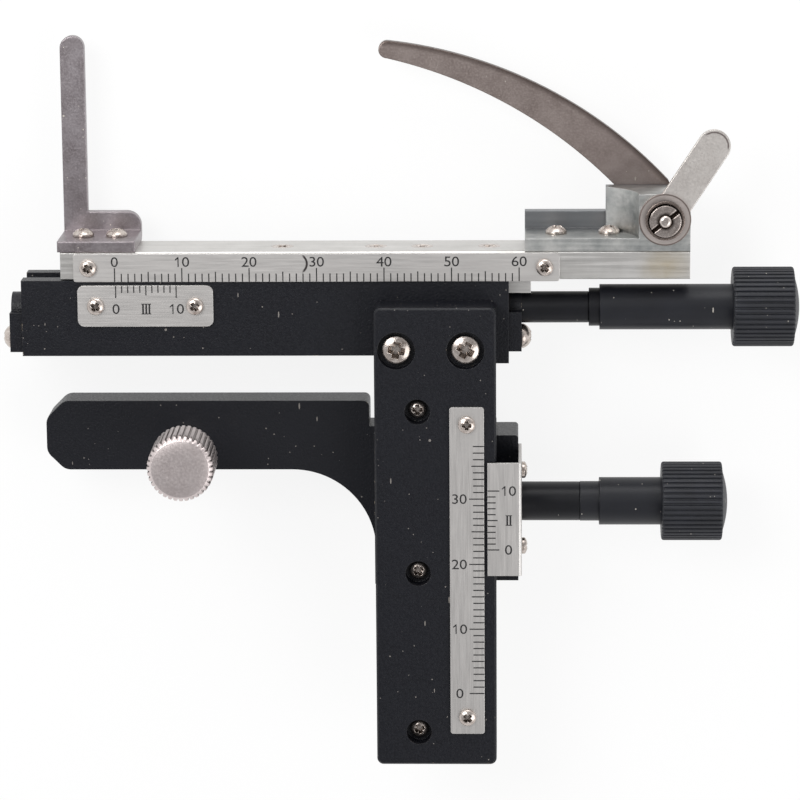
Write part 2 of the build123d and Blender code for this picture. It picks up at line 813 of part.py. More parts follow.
# Slide holder bar, its tongue and the nut on the lead screw
def holder_bar():
    bar = block(bar_left_x, bar_right_x, bar_front_y, bar_rear_y, bar_bottom_z, bar_top_z)
    bar = chamfer(bar.edges().filter_by(Axis.X), bar_edge_break)
    for x in bar_screw_xs:
        bar -= facing_rear(x, bar_rear_y, bar_screw_z) * sunk_hole(sunk_head, bar_depth + 1)
    for x in fixed_screw_xs() + bracket_screw_xs():
        bar -= rod_y(bar_front_y - 1, bar_rear_y + 1, x, bar_screw_z, finger_head[2])
    for x, y in x_scale_screw_places():
        bar -= rod_z(x, y, bar_top_z - scale_screw_length, bar_top_z + 1, scale_head[2])
    return solid_of(bar)


def x_guide_tongue():
    tongue = block(tongue_left_x, tongue_right_x, tongue_front_y, bar_front_y, tongue_bottom_z, tongue_top_z)
    for x in bar_screw_xs:
        tongue -= rod_y(tongue_front_y - 1, bar_front_y + 1, x, bar_screw_z, sunk_head[2])
    return solid_of(tongue)


# The last screw is longer, because it holds the lead nut as well
def tongue_screws():
    reach = bar_rear_y - tongue_front_y
    for x in bar_screw_xs:
        length = reach + nut_screw_depth if x == nut_screw_x else reach
        yield facing_rear(x, bar_rear_y, bar_screw_z) * sunk_screw(sunk_head, length)


def lead_nut():
    half = cavity_height / 2 - sliding_gap
    front = cavity_front_y + sliding_gap
    rear = cavity_rear_y - sliding_gap
    nut = block(nut_left_x, nut_right_x, front, rear, lead_z - half, lead_z + half)
    nut += block(nut_left_x, nut_right_x, rear - 0.5, tongue_front_y, tongue_bottom_z, tongue_top_z)
    nut -= rod_x(nut_left_x - 1, nut_right_x + 1, lead_y, lead_z, lead_screw_diameter + 2 * running_gap)
    nut -= rod_y(tongue_front_y - nut_screw_depth, tongue_front_y + 1, nut_screw_x, bar_screw_z, sunk_head[2])
    return solid_of(nut)


def x_scale_box():
    left = bar_left_x + x_scale_left_inset
    front = bar_front_y - x_scale_overhang
    return left, left + x_scale_length, front, front + x_scale_width


def x_scale_screw_places():
    left, right, front, rear = x_scale_box()
    middle = (front + rear) / 2
    return [(left + x_scale_screw_inset, middle), (right - x_scale_screw_inset, middle)]


def x_scale_plate():
    plate = rounded_plate(*x_scale_box(), bar_top_z, plate_corner_round)
    for x, y in x_scale_screw_places():
        plate -= rod_z(x, y, bar_top_z - 1, bar_top_z + 1, scale_head[2])
    return solid_of(plate)


def x_scale_screws():
    for x, y in x_scale_screw_places():
        yield facing_up(x, y, bar_top_z + plate_thickness) * pan_screw(scale_head, scale_screw_length)


# Fixed finger
def fixed_screw_xs():
    first = bar_left_x + fixed_screw_left
    return [first, first + fixed_screw_spacing]


def fixed_finger():
    left = bar_left_x - fixed_finger_overhang
    right = left + fixed_flange_length
    tip = seat_rear_y - fixed_strip_width / 2 + fixed_finger_reach - seat_depth
    strip_right = left + fixed_strip_width
    outline = make_face(Polyline(
        (left, bar_rear_y), (right, bar_rear_y), (right, seat_rear_y),
        (strip_right, seat_rear_y), (strip_right, tip), (left, tip), close=True))
    outline = fillet(nearest(outline.vertices(), right, seat_rear_y), foot_round)
    sheet = extrude(outline, sheet_thickness)
    sheet += rod_z(left + fixed_strip_width / 2, tip, 0, sheet_thickness, fixed_strip_width)
    flange = block(left, right, bar_rear_y, bar_rear_y + sheet_thickness, 0, bar_top_z - finger_lift)
    body = Pos(0, 0, finger_lift) * (sheet + flange)
    bend = nearest(body.edges().filter_by(Axis.X), (left + right) / 2, bar_rear_y, finger_lift)
    body = fillet(bend, fixed_bend_round)
    for x in fixed_screw_xs():
        body -= rod_y(bar_rear_y - 1, bar_rear_y + sheet_thickness + 1, x, bar_screw_z, finger_head[2])
    return solid_of(body)


def fixed_finger_screws():
    screw = pan_screw(finger_head, sheet_thickness + bar_depth - finger_screw_end_gap)
    for x in fixed_screw_xs():
        yield facing_rear(x, bar_rear_y + sheet_thickness, bar_screw_z) * screw


# Finger bracket with the pivot
def bracket_screw_xs():
    first = bar_right_x - bracket_screw_inset
    return [first, first - bracket_screw_spacing]


def finger_bracket():
    top = bar_top_z
    rear = finger_block_rear_y
    flange_rear = bar_rear_y + bracket_flange
    body = block(bracket_left_x, bar_right_x, bar_rear_y, flange_rear, finger_lift, top)
    body += block(
        bracket_left_x, finger_block_left_x, flange_rear - 0.5, seat_rear_y,
        finger_lift, finger_lift + bracket_plate_thickness)
    body += block(finger_block_left_x, bar_right_x, flange_rear - 0.5, rear, finger_top_z + sliding_gap, top)
    body -= rod_y(flange_rear, rear + 1, finger_block_left_x + cove_inset - cove_radius, top, 2 * cove_radius)
    body -= rod_z(pivot_x, pivot_y, -1, top + 1, pivot_diameter + 2 * running_gap)
    body -= rod_z(pivot_x, pivot_y, top - spring_pocket_depth, top + 1, spring_diameter + 2 * free_gap)
    for x in bracket_screw_xs():
        body -= rod_y(bar_rear_y - 1, flange_rear + 1, x, bar_screw_z, finger_head[2])
    return solid_of(body)


def bracket_screws():
    screw = pan_screw(finger_head, bracket_flange + bar_depth - finger_screw_end_gap)
    for x in bracket_screw_xs():
        yield facing_rear(x, bar_rear_y + bracket_flange, bar_screw_z) * screw


def torsion_spring():
    path = Helix(spring_turn_pitch, spring_turn_pitch * spring_turns, (spring_diameter - spring_wire) / 2)
    section = Plane(origin=path @ 0, z_dir=path % 0) * Circle(spring_wire / 2)
    bottom = bar_top_z - spring_pocket_depth + spring_wire / 2 + sliding_gap
    return solid_of(Pos(pivot_x, pivot_y, bottom) * sweep(section, path))


def pivot_pin():
    tip_z = pivot_nut_z + pivot_nut_height + pivot_tip_height
    pin = rod_z(pivot_x, pivot_y, finger_lift, lever_bottom_z, pivot_diameter)
    pin += rod_z(pivot_x, pivot_y, lever_bottom_z, tip_z, pivot_thread_diameter)
    tip = pin.faces().sort_by(Axis.Z)[-1]
    pin = fillet(tip.edges(), pivot_thread_diameter * 0.3)
    return solid_of(pin)


def spring_finger():
    def at(x, y):
        return pivot_x + x, pivot_y + y

    hub = finger_hub_diameter / 2
    dx = finger_back_x - finger_tip_x
    dy = finger_back_y - finger_tip_y
    lean = atan2(dy, dx) + 0.2
    back_start = at(finger_tip_x - finger_tip_round * sin(lean), finger_tip_y + finger_tip_round * cos(lean))
    inner_end = at(finger_tip_x + finger_tip_round * sin(lean), finger_tip_y - finger_tip_round * cos(lean))
    nose = at(finger_tip_x - finger_tip_round * cos(lean), finger_tip_y - finger_tip_round * sin(lean))
    lines = [
        ThreePointArc(back_start, at(finger_back_x, finger_back_y), at(finger_root_x, finger_root_y)),
        Line(at(finger_root_x, finger_root_y), at(hub, 0)),
        ThreePointArc(at(hub, 0), at(0, -hub), at(-hub * 0.8, -hub * 0.6)),
        Line(at(-hub * 0.8, -hub * 0.6), at(finger_heel_x, finger_heel_y)),
        ThreePointArc(at(finger_heel_x, finger_heel_y), at(finger_inner_x, finger_inner_y), inner_end),
        ThreePointArc(inner_end, nose, back_start),
    ]
    sheet = Pos(0, 0, finger_lift) * extrude(make_face(lines), sheet_thickness)
    sheet -= rod_z(pivot_x, pivot_y, -1, finger_top_z + 1, pivot_diameter)
    return solid_of(sheet)


def finger_lever():
    tongue = Pos(lever_length / 2, 0) * Rectangle(lever_length, lever_width)
    tongue += Pos(lever_length, 0) * Circle(lever_width / 2)
    outline = Circle(lever_hub_diameter / 2) + Rot(0, 0, lever_angle) * tongue
    plate = extrude(outline, lever_thickness) - rod_z(0, 0, -1, lever_thickness + 1, pivot_thread_diameter)
    return solid_of(Pos(pivot_x, pivot_y, lever_bottom_z) * plate)


def cup_washer():
    outer = cup_diameter / 2
    inner = pivot_thread_diameter / 2
    floor = cup_floor
    ring = turned([
        (inner, 0), (outer, 0), (outer, cup_height), (outer - cup_rim, cup_height),
        (pivot_nut_diameter / 2 + sliding_gap, floor), (inner, floor)])
    return solid_of(Pos(pivot_x, pivot_y, cup_bottom_z) * ring)


def slotted_nut():
    nut = rod_z(0, 0, 0, pivot_nut_height, pivot_nut_diameter)
    nut -= rod_z(0, 0, -1, pivot_nut_height + 1, pivot_thread_diameter)
    slot = Box(pivot_nut_diameter + 1, pivot_nut_slot, pivot_nut_height)
    nut -= Pos(0, 0, pivot_nut_height) * Rot(0, 0, pivot_nut_slot_angle) * slot
    return solid_of(Pos(pivot_x, pivot_y, pivot_nut_z) * nut)


def y_ring(start, length, outer):
    return ring_on_shaft(start, length, pinion_y, pinion_z, outer, drive_shaft_diameter)


def x_ring(start, length, outer):
    return ring_on_shaft(start, length, lead_y, lead_z, outer, x_shaft_diameter)


os.makedirs("parts", exist_ok=True)
save("base_bracket", base_bracket())
save("locating_pins", group(locating_pins()))
save("y_vernier_plate", y_vernier_plate())
save("y_vernier_screws", group(y_vernier_screws()))
save("y_bearing_tube", y_bearing_tube())
save("clamp_washer", clamp_washer())
save("clamp_screw", clamp_screw())
save("column_plate", column_plate())
save("y_dovetail", y_dovetail())
save("y_rack", y_rack())
save("rack_screws", group(rack_screws()))
save("y_scale_plate", y_scale_plate())
save("y_scale_screws", group(y_scale_screws()))
save("beam_screws", group(beam_screws()))
save("x_beam", x_beam())
save("left_end_plate", left_end_plate())
save("right_end_plate", right_end_plate())
save("end_plate_screws", group(end_plate_screws()))
save("x_vernier_plate", x_vernier_plate())
save("x_vernier_screws", group(x_vernier_screws()))
save("x_bearing_tube", x_bearing_tube())
save("y_pinion", y_pinion())
save("y_shaft", y_shaft())
save("y_shaft_collar", y_ring(y_collar_x, y_collar_length, y_collar_diameter))
save("y_knob_sleeve", y_ring(y_sleeve_x, y_sleeve_length, y_sleeve_diameter))
save("y_knob", knob(y_knob_x, pinion_y, pinion_z, drive_shaft_diameter))
save("lead_screw", lead_screw())
save("x_shaft_collar", x_ring(x_collar_x, x_collar_length, x_collar_diameter))
save("x_knob_sleeve", x_ring(x_sleeve_x, x_sleeve_length, x_sleeve_diameter))
save("x_knob", knob(x_knob_x, lead_y, lead_z, x_shaft_diameter))
save("holder_bar", holder_bar())
save("x_guide_tongue", x_guide_tongue())
save("tongue_screws", group(tongue_screws()))
save("lead_nut", lead_nut())
save("x_scale_plate", x_scale_plate())
save("x_scale_screws", group(x_scale_screws()))
save("fixed_finger", fixed_finger())
save("fixed_finger_screws", group(fixed_finger_screws()))
save("finger_bracket", finger_bracket())
save("bracket_screws", group(bracket_screws()))
save("torsion_spring", torsion_spring())
save("pivot_pin", pivot_pin())
save("spring_finger", spring_finger())
save("finger_lever", finger_lever())
save("cup_washer", cup_washer())
save("slotted_nut", slotted_nut())
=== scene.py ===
import bpy
import bmesh
from math import asin, cos, pi, radians, sin
from mathutils import Matrix, Vector


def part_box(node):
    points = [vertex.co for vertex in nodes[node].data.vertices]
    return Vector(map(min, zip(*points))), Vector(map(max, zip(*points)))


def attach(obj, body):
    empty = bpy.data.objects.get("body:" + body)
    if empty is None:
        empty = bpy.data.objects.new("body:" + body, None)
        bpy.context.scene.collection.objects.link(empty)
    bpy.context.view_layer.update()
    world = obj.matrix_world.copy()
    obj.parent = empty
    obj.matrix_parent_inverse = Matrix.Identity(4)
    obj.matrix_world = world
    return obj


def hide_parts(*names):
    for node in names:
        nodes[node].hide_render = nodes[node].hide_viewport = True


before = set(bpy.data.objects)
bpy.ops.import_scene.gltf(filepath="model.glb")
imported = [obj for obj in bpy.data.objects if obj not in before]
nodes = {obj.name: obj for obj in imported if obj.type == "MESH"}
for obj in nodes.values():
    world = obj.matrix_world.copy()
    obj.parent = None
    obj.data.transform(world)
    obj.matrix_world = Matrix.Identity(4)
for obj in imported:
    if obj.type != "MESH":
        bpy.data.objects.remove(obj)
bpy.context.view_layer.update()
scene = bpy.context.scene
mm = 0.001  # sizes below are in millimetres, Blender works in metres
print("frame loaded:", len(nodes), "solids")


# Small tools

def linear(hexColour):
    channels = [int(hexColour[i:i + 2], 16) / 255 for i in (1, 3, 5)]
    return tuple(c / 12.92 if c <= 0.04045 else ((c + 0.055) / 1.055) ** 2.4 for c in channels) + (1.0,)


def perMetre(millimetres):
    return 1 / (millimetres * mm)  # a texture scale that repeats once in this length


def addNode(tree, kind, links=None, values=None, **settings):
    node = tree.nodes.new(kind)
    for key, value in settings.items():
        setattr(node, key, value)
    for key, value in (values or {}).items():
        node.inputs[key].default_value = value
    for key, source in (links or {}).items():
        tree.links.new(source, node.inputs[key])
    return node


def mathNode(tree, operation, first, second=None, clamp=False):
    node = addNode(tree, "ShaderNodeMath", operation=operation, use_clamp=clamp)
    for index, given in enumerate((first, second)):
        if isinstance(given, (int, float)):
            node.inputs[index].default_value = given
        elif given is not None:
            tree.links.new(given, node.inputs[index])
    return node.outputs[0]


def addPiece(name, mesh):
    piece = bpy.data.objects.new(name, mesh)
    scene.collection.objects.link(piece)
    return piece


def asPlainMesh(source, name):
    graph = bpy.context.evaluated_depsgraph_get()
    mesh = bpy.data.meshes.new_from_object(source.evaluated_get(graph))
    bpy.data.objects.remove(source)
    return addPiece(name, mesh)


def smoothBelow(mesh, degrees):
    for face in mesh.polygons:
        face.use_smooth = True
    mesh.set_sharp_from_angle(angle=radians(degrees))


def dress(piece, material):
    piece.data.materials.clear()
    piece.data.materials.append(material)


# Camera, at the photograph's angle

cameraView = {
    "target": (31.80, 7.01, 10.0),  # the point the lens looks at
    "tiltBack": 12.25,  # degrees from straight above towards the slide side
    "tiltSide": 1.77,
    "roll": -0.43,
    "distance": 560.0,
    "lens": 168.38,
}


def placeCamera(view):
    back = radians(view["tiltBack"])
    side = radians(view["tiltSide"])
    roll = radians(view["roll"])
    away = Vector((sin(side) * cos(back), sin(back), cos(back) * cos(side)))
    right = Vector((0, 1, 0)).cross(away).normalized()
    up = away.cross(right)
    rolledRight = cos(roll) * right + sin(roll) * up
    rolledUp = cos(roll) * up - sin(roll) * right
    eye = (Vector(view["target"]) + away * view["distance"]) * mm
    data = bpy.data.cameras.new("camera")
    data.lens = view["lens"]
    data.sensor_width = 36
    data.clip_start = 0.01
    camera = bpy.data.objects.new("camera", data)
    turned = Matrix((rolledRight, rolledUp, away)).transposed().to_4x4()
    camera.matrix_world = Matrix.Translation(eye) @ turned
    scene.collection.objects.link(camera)
    scene.camera = camera


placeCamera(cameraView)
print("camera placed")


# Floor, world and lamps

studio = {
    "floorZ": -4.3,
    "floorSize": 4000,
    "floorColour": "#f4f4f3",
    "floorGlow": 0.86,  # share of plain white that the camera and metal see, the rest keeps the shadow
    "skyColour": "#fdfdff",
    "skyTop": 0.36,  # a dim room above, so that faces turned to the lens stay dark
    "skyEdge": 1.0,
    "skyFade": (0.25, 0.95),  # heights between which the sky dims, 1 is straight up
    "lamps": (
        ("keyLamp", (-170, 210, 380), 260, 1.05),
        ("fillLamp", (300, -120, 330), 320, 0.55),
        ("rearLamp", (60, 420, 120), 300, 0.5),
    ),
}


def seenDirectly(tree):
    path = addNode(tree, "ShaderNodeLightPath").outputs
    first = mathNode(tree, "ADD", path["Is Camera Ray"], path["Is Glossy Ray"], clamp=True)
    return mathNode(tree, "ADD", first, path["Is Transmission Ray"], clamp=True)


def makeFloor(look):
    half = look["floorSize"] / 2 * mm
    mesh = bpy.data.meshes.new("floor")
    corners = [(-half, -half), (half, -half), (half, half), (-half, half)]
    mesh.from_pydata([(x, y, look["floorZ"] * mm) for x, y in corners], [], [(0, 1, 2, 3)])
    floor = addPiece("floor", mesh)
    material = bpy.data.materials.new("paleFloor")
    material.use_nodes = True
    tree = material.node_tree
    tree.nodes.clear()
    matt = addNode(tree, "ShaderNodeBsdfDiffuse", values={"Color": linear(look["floorColour"])})
    glow = addNode(tree, "ShaderNodeEmission", values={"Color": (1, 1, 1, 1), "Strength": 1.0})
    share = mathNode(tree, "MULTIPLY", seenDirectly(tree), look["floorGlow"])
    mix = addNode(tree, "ShaderNodeMixShader", {0: share, 1: matt.outputs[0], 2: glow.outputs[0]})
    addNode(tree, "ShaderNodeOutputMaterial", {"Surface": mix.outputs[0]})
    dress(floor, material)


def makeWorld(look):
    world = bpy.data.worlds.new("studioWorld")
    scene.world = world
    world.use_nodes = True
    tree = world.node_tree
    tree.nodes.clear()
    seen = addNode(tree, "ShaderNodeLightPath").outputs["Is Camera Ray"]
    direction = addNode(tree, "ShaderNodeTexCoord").outputs["Generated"]
    height = addNode(tree, "ShaderNodeSeparateXYZ", {0: direction}).outputs["Z"]
    low, high = look["skyFade"]
    dimmed = addNode(tree, "ShaderNodeMapRange", {"Value": height},
                     {"From Min": low, "From Max": high, "To Min": look["skyEdge"], "To Max": look["skyTop"]},
                     interpolation_type="SMOOTHSTEP").outputs[0]
    sky = addNode(tree, "ShaderNodeBackground", {"Strength": dimmed}, {"Color": linear(look["skyColour"])})
    white = addNode(tree, "ShaderNodeBackground", values={"Color": (1, 1, 1, 1), "Strength": 1.0})
    mix = addNode(tree, "ShaderNodeMixShader", {0: seen, 1: sky.outputs[0], 2: white.outputs[0]})
    addNode(tree, "ShaderNodeOutputWorld", {"Surface": mix.outputs[0]})


def makeLamps(look):
    aim = Vector(cameraView["target"]) * mm
    for name, place, size, power in look["lamps"]:
        data = bpy.data.lights.new(name, "AREA")
        data.shape = "DISK"
        data.size = size * mm
        data.energy = power
        lamp = bpy.data.objects.new(name, data)
        lamp.location = Vector(place) * mm
        lamp.rotation_euler = (aim - lamp.location).to_track_quat("-Z", "Y").to_euler()
        scene.collection.objects.link(lamp)


makeFloor(studio)
makeWorld(studio)
makeLamps(studio)
scene.view_settings.view_transform = "Standard"
print("studio ready")


# Materials, each named for the real metal or plastic and how it was finished

alongX = (0.03, 1, 1)
alongY = (1, 0.03, 1)
evenly = (1, 1, 1)


def startMaterial(name, colour, metallic, roughness):
    material = bpy.data.materials.new(name)
    material.use_nodes = True
    tree = material.node_tree
    tree.nodes.clear()
    shader = addNode(tree, "ShaderNodeBsdfPrincipled",
                     values={"Base Color": linear(colour), "Metallic": metallic, "Roughness": roughness})
    addNode(tree, "ShaderNodeOutputMaterial", {"Surface": shader.outputs[0]})
    place = addNode(tree, "ShaderNodeTexCoord").outputs["Object"]
    return material, tree, shader, place


def grainAlong(tree, place, stretch, size, detail=3.0):
    mapped = addNode(tree, "ShaderNodeMapping", {"Vector": place}, {"Scale": stretch})
    return addNode(tree, "ShaderNodeTexNoise", {"Vector": mapped.outputs[0]},
                   {"Scale": perMetre(size), "Detail": detail, "Roughness": 0.6}).outputs["Fac"]


def softEdges(tree, shader, height, depth, rounding):
    bevel = addNode(tree, "ShaderNodeBevel", values={"Radius": rounding * mm}, samples=6)
    bump = addNode(tree, "ShaderNodeBump", {"Height": height, "Normal": bevel.outputs[0]},
                   {"Strength": 1.0, "Distance": depth * mm})
    tree.links.new(bump.outputs[0], shader.inputs["Normal"])
    return bevel.outputs[0]


def edgeShare(tree, bevelNormal, low, high):
    plain = addNode(tree, "ShaderNodeNewGeometry").outputs["Normal"]
    dot = addNode(tree, "ShaderNodeVectorMath", {0: bevelNormal, 1: plain}, operation="DOT_PRODUCT")
    return scaled(tree, dot.outputs["Value"], 0, 1, high, low)


def mixColours(tree, share, first, second):
    links = {0: share}
    values = {}
    for key, colour in ((6, first), (7, second)):
        if isinstance(colour, str):
            values[key] = linear(colour)
        else:
            links[key] = colour
    return addNode(tree, "ShaderNodeMix", links, values, data_type="RGBA").outputs[2]


def speckShare(tree, place, spacing, radius, keep):
    # one speck in a kept share of the cells, each of its own size up to the radius
    cells = addNode(tree, "ShaderNodeTexVoronoi", {"Vector": place}, {"Scale": perMetre(spacing)}).outputs
    draw = addNode(tree, "ShaderNodeSeparateColor", {0: cells["Color"]}).outputs
    chosen = mathNode(tree, "GREATER_THAN", draw[0], 1 - keep)
    size = mathNode(tree, "MULTIPLY", draw[1], radius / spacing)
    inside = mathNode(tree, "LESS_THAN", cells["Distance"], size)
    return mathNode(tree, "MULTIPLY", chosen, inside)


def scaled(tree, source, low, high, fromLow=0.3, fromHigh=0.7):
    return addNode(tree, "ShaderNodeMapRange", {"Value": source},
                   {"From Min": fromLow, "From Max": fromHigh, "To Min": low, "To Max": high}).outputs[0]


dustKinds = {
    # spacing, widest radius and share of the specks
    "points": (0.9, 0.11, 1.0), "grains": (2.6, 0.2, 0.6), "fibres": (1.3, 0.12, 0.7),
}
fibreStretch = {"Scale": (1, 0.22, 1), "Rotation": (0, 0, 0.6)}


def addDust(tree, place, tint, look):
    drawnOut = addNode(tree, "ShaderNodeMapping", {"Vector": place}, fibreStretch).outputs[0]
    for kind, (spacing, radius, share) in dustKinds.items():
        source = drawnOut if kind == "fibres" else place
        specks = speckShare(tree, source, spacing, radius, look["specks"] * share)
        tint = mixColours(tree, specks, tint, look["dust"])
    return tint


def setRoughness(tree, shader, grain, look, less, more):
    rough = scaled(tree, grain, look["roughness"] - less, look["roughness"] + more)
    tree.links.new(rough, shader.inputs["Roughness"])


def blackPaint(name, look):
    # baked enamel over a fine sprayed grain: the eye sees a dull sheen, dust and bare edges
    material, tree, shader, place = startMaterial(name, look["colour"], 0.0, look["roughness"])
    shader.inputs["IOR"].default_value = look["ior"]
    grain = grainAlong(tree, place, evenly, look["grain"])
    cloud = grainAlong(tree, place, evenly, 9.0)
    bevel = softEdges(tree, shader, grain, look["grainDepth"], look["edge"])
    tint = mixColours(tree, scaled(tree, grain, 0, 1, 0.35, 0.72), look["colour"], look["faded"])
    tint = mixColours(tree, scaled(tree, cloud, 0, 0.5), tint, look["faded"])
    worn = edgeShare(tree, bevel, 0.86, 0.985)
    rubbed = scaled(tree, grainAlong(tree, place, evenly, 1.3), 0.12, 1, 0.5, 0.66)
    tint = mixColours(tree, mathNode(tree, "MULTIPLY", worn, rubbed), tint, look["wornEdge"])
    chipped = scaled(tree, grainAlong(tree, place, evenly, 2.2), 0, 1, 0.66, 0.68)
    chips = mathNode(tree, "MULTIPLY", worn, chipped)
    tint = addDust(tree, place, mixColours(tree, chips, tint, look["primer"]), look)
    tree.links.new(tint, shader.inputs["Base Color"])
    setRoughness(tree, shader, grain, look, 0.08, 0.08)
    return material


def blackTube(name, look):
    # lacquered tube: smoother than the castings, with faint rings from the lathe
    material, tree, shader, place = startMaterial(name, look["colour"], 0.0, look["roughness"])
    shader.inputs["IOR"].default_value = look["ior"]
    rings = grainAlong(tree, place, (1, 0.02, 0.02), 0.25)
    softEdges(tree, shader, rings, 0.004, 0.12)
    cloud = grainAlong(tree, place, evenly, 5.0)
    tint = mixColours(tree, scaled(tree, cloud, 0, 1), look["colour"], look["faded"])
    tree.links.new(addDust(tree, place, tint, look), shader.inputs["Base Color"])
    return material


def moulded(name, look):
    # moulded ABS: an even dull black with a soft sheen and pale dust caught on the ribs
    material, tree, shader, place = startMaterial(name, look["colour"], 0.0, look["roughness"])
    shader.inputs["IOR"].default_value = 1.5
    grain = grainAlong(tree, place, evenly, 0.2)
    softEdges(tree, shader, grain, 0.006, 0.1)
    cloud = grainAlong(tree, place, evenly, 3.0)
    tint = mixColours(tree, scaled(tree, cloud, 0, 1), look["colour"], look["faded"])
    tree.links.new(addDust(tree, place, tint, look), shader.inputs["Base Color"])
    return material


def awayFrom(tree, place, centre):
    apart = addNode(tree, "ShaderNodeVectorMath", {0: place}, {1: Vector(centre) * mm}, operation="DISTANCE")
    return apart.outputs["Value"]


def ringShare(tree, place, centre, radius, width):
    away = awayFrom(tree, place, centre)
    gap = mathNode(tree, "ABSOLUTE", mathNode(tree, "SUBTRACT", away, radius * mm))
    return scaled(tree, gap, 1, 0, width / 2 * mm, width * mm)


usualMetal = {"stretch": evenly, "streaks": 0.3, "grain": 0.25, "grainDepth": 0.003}
recessShadeReach = 0.7  # how far the painted shade reaches out of a corner


def metal(name, own):
    # bare or plated metal: stretched grain gives the direction it was worked in, clouds give handling marks
    look = {**usualMetal, **own}
    material, tree, shader, place = startMaterial(name, look["colour"], 1.0, look["roughness"])
    grain = grainAlong(tree, place, look["stretch"], look["grain"])
    cloud = grainAlong(tree, place, evenly, look["cloud"], 4.0)
    softEdges(tree, shader, grain, look["grainDepth"], look["edge"])
    tint = mixColours(tree, scaled(tree, cloud, 0, 1), look["colour"], look["shade"])
    tint = mixColours(tree, scaled(tree, grain, 0, look["streaks"], 0.45, 0.75), tint, look["streak"])
    # painted shade: it darkens the washer's cup, the nut's slot and the bracket's lower faces
    if "low" in look:  # darker towards the bottom
        tone, bottom, top = look["low"]
        height = addNode(tree, "ShaderNodeSeparateXYZ", {0: place}).outputs[2]
        tint = mixColours(tree, scaled(tree, height, 1, 0, bottom * mm, top * mm), tint, tone)
    if "spot" in look:  # a cloudy stain
        tone, centre, reach = look["spot"]
        near = scaled(tree, awayFrom(tree, place, centre), 1, 0, 0, reach * mm)
        tint = mixColours(tree, mathNode(tree, "MULTIPLY", near, scaled(tree, cloud, 0.2, 1)), tint, tone)
    # painted shade along the curved finger's back edge and round the nut's pin; on the lever, a darker hub
    for tone, centre, start, full in look.get("fades", ()):  # grows between two distances from a centre
        away = awayFrom(tree, place, centre)
        tint = mixColours(tree, scaled(tree, away, 0, 1, start * mm, full * mm), tint, tone)
    for tone, centre, radius, width in look.get("lines", ()):  # a whole ring
        tint = mixColours(tree, ringShare(tree, place, centre, radius, width), tint, tone)
    # a real scratch on the X scale plate; on the lever, painted shade on the rim of the bent-up tip
    if "scratchAndShadeArc" in look:  # the part of a ring that lies past a distance from an anchor
        tone, centre, radius, width, anchor, past = look["scratchAndShadeArc"]
        beyond = scaled(tree, awayFrom(tree, place, anchor), 0, 1, past * mm, (past + 0.3) * mm)
        ring = ringShare(tree, place, centre, radius, width)
        tint = mixColours(tree, mathNode(tree, "MULTIPLY", ring, beyond), tint, tone)
    if "specks" in look:
        tint = addDust(tree, place, tint, look)
    # painted shade: ambient occlusion darkens the piece's own recesses, slots and inner corners, standing in
    # for the shade that falls there
    if "recessShade" in look:
        bared = addNode(tree, "ShaderNodeAmbientOcclusion", values={"Distance": recessShadeReach * mm},
                        samples=8, only_local=True).outputs["AO"]
        tint = mixColours(tree, scaled(tree, bared, 1, 0, 0.2, 0.8), tint, look["recessShade"])
    tree.links.new(tint, shader.inputs["Base Color"])
    setRoughness(tree, shader, grain, look, 0.05, 0.07)
    return material


def printedInk(name, look):
    # screen printed scale ink: flat black that takes no light
    material, tree, shader, place = startMaterial(name, look["colour"], 0.0, 0.6)
    wear = grainAlong(tree, place, evenly, 0.3)
    tint = mixColours(tree, scaled(tree, wear, 0, 1, 0.45, 0.8), look["colour"], look["thin"])
    tree.links.new(tint, shader.inputs["Base Color"])
    return material


# three points of the curved finger's back, from the pivot
fingerArc = {"tip": (-40.9, 25.3), "back": (-19.2, 19.0), "root": (0.9, 4.2)}
leverRound = 2.45  # half the width of the lever's arm


def arcThrough(first, second, third):
    # centre and radius of the circle through three points
    ax, ay = first
    bx, by = second[0] - ax, second[1] - ay
    cx, cy = third[0] - ax, third[1] - ay
    twice = 2 * (bx * cy - by * cx)
    x = (cy * (bx * bx + by * by) - by * (cx * cx + cy * cy)) / twice
    y = (bx * (cx * cx + cy * cy) - cx * (bx * bx + by * by)) / twice
    return (ax + x, ay + y), (x * x + y * y) ** 0.5


pivotLow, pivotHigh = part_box("pivot_pin")
pivotX, pivotY = ((pivotLow + pivotHigh) / 2 / mm)[:2]
(arcX, arcY), arcRadius = arcThrough(fingerArc["tip"], fingerArc["back"], fingerArc["root"])
fingerBack = (pivotX + arcX, pivotY + arcY, 1.0)
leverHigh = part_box("finger_lever")[1] / mm
pivotTop = Vector((pivotX, pivotY, leverHigh.z))
leverTip = leverHigh - Vector((leverRound, leverRound, 0))
leverArm = (leverTip - pivotTop).length
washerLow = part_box("cup_washer")[0].z / mm
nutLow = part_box("slotted_nut")[0].z / mm
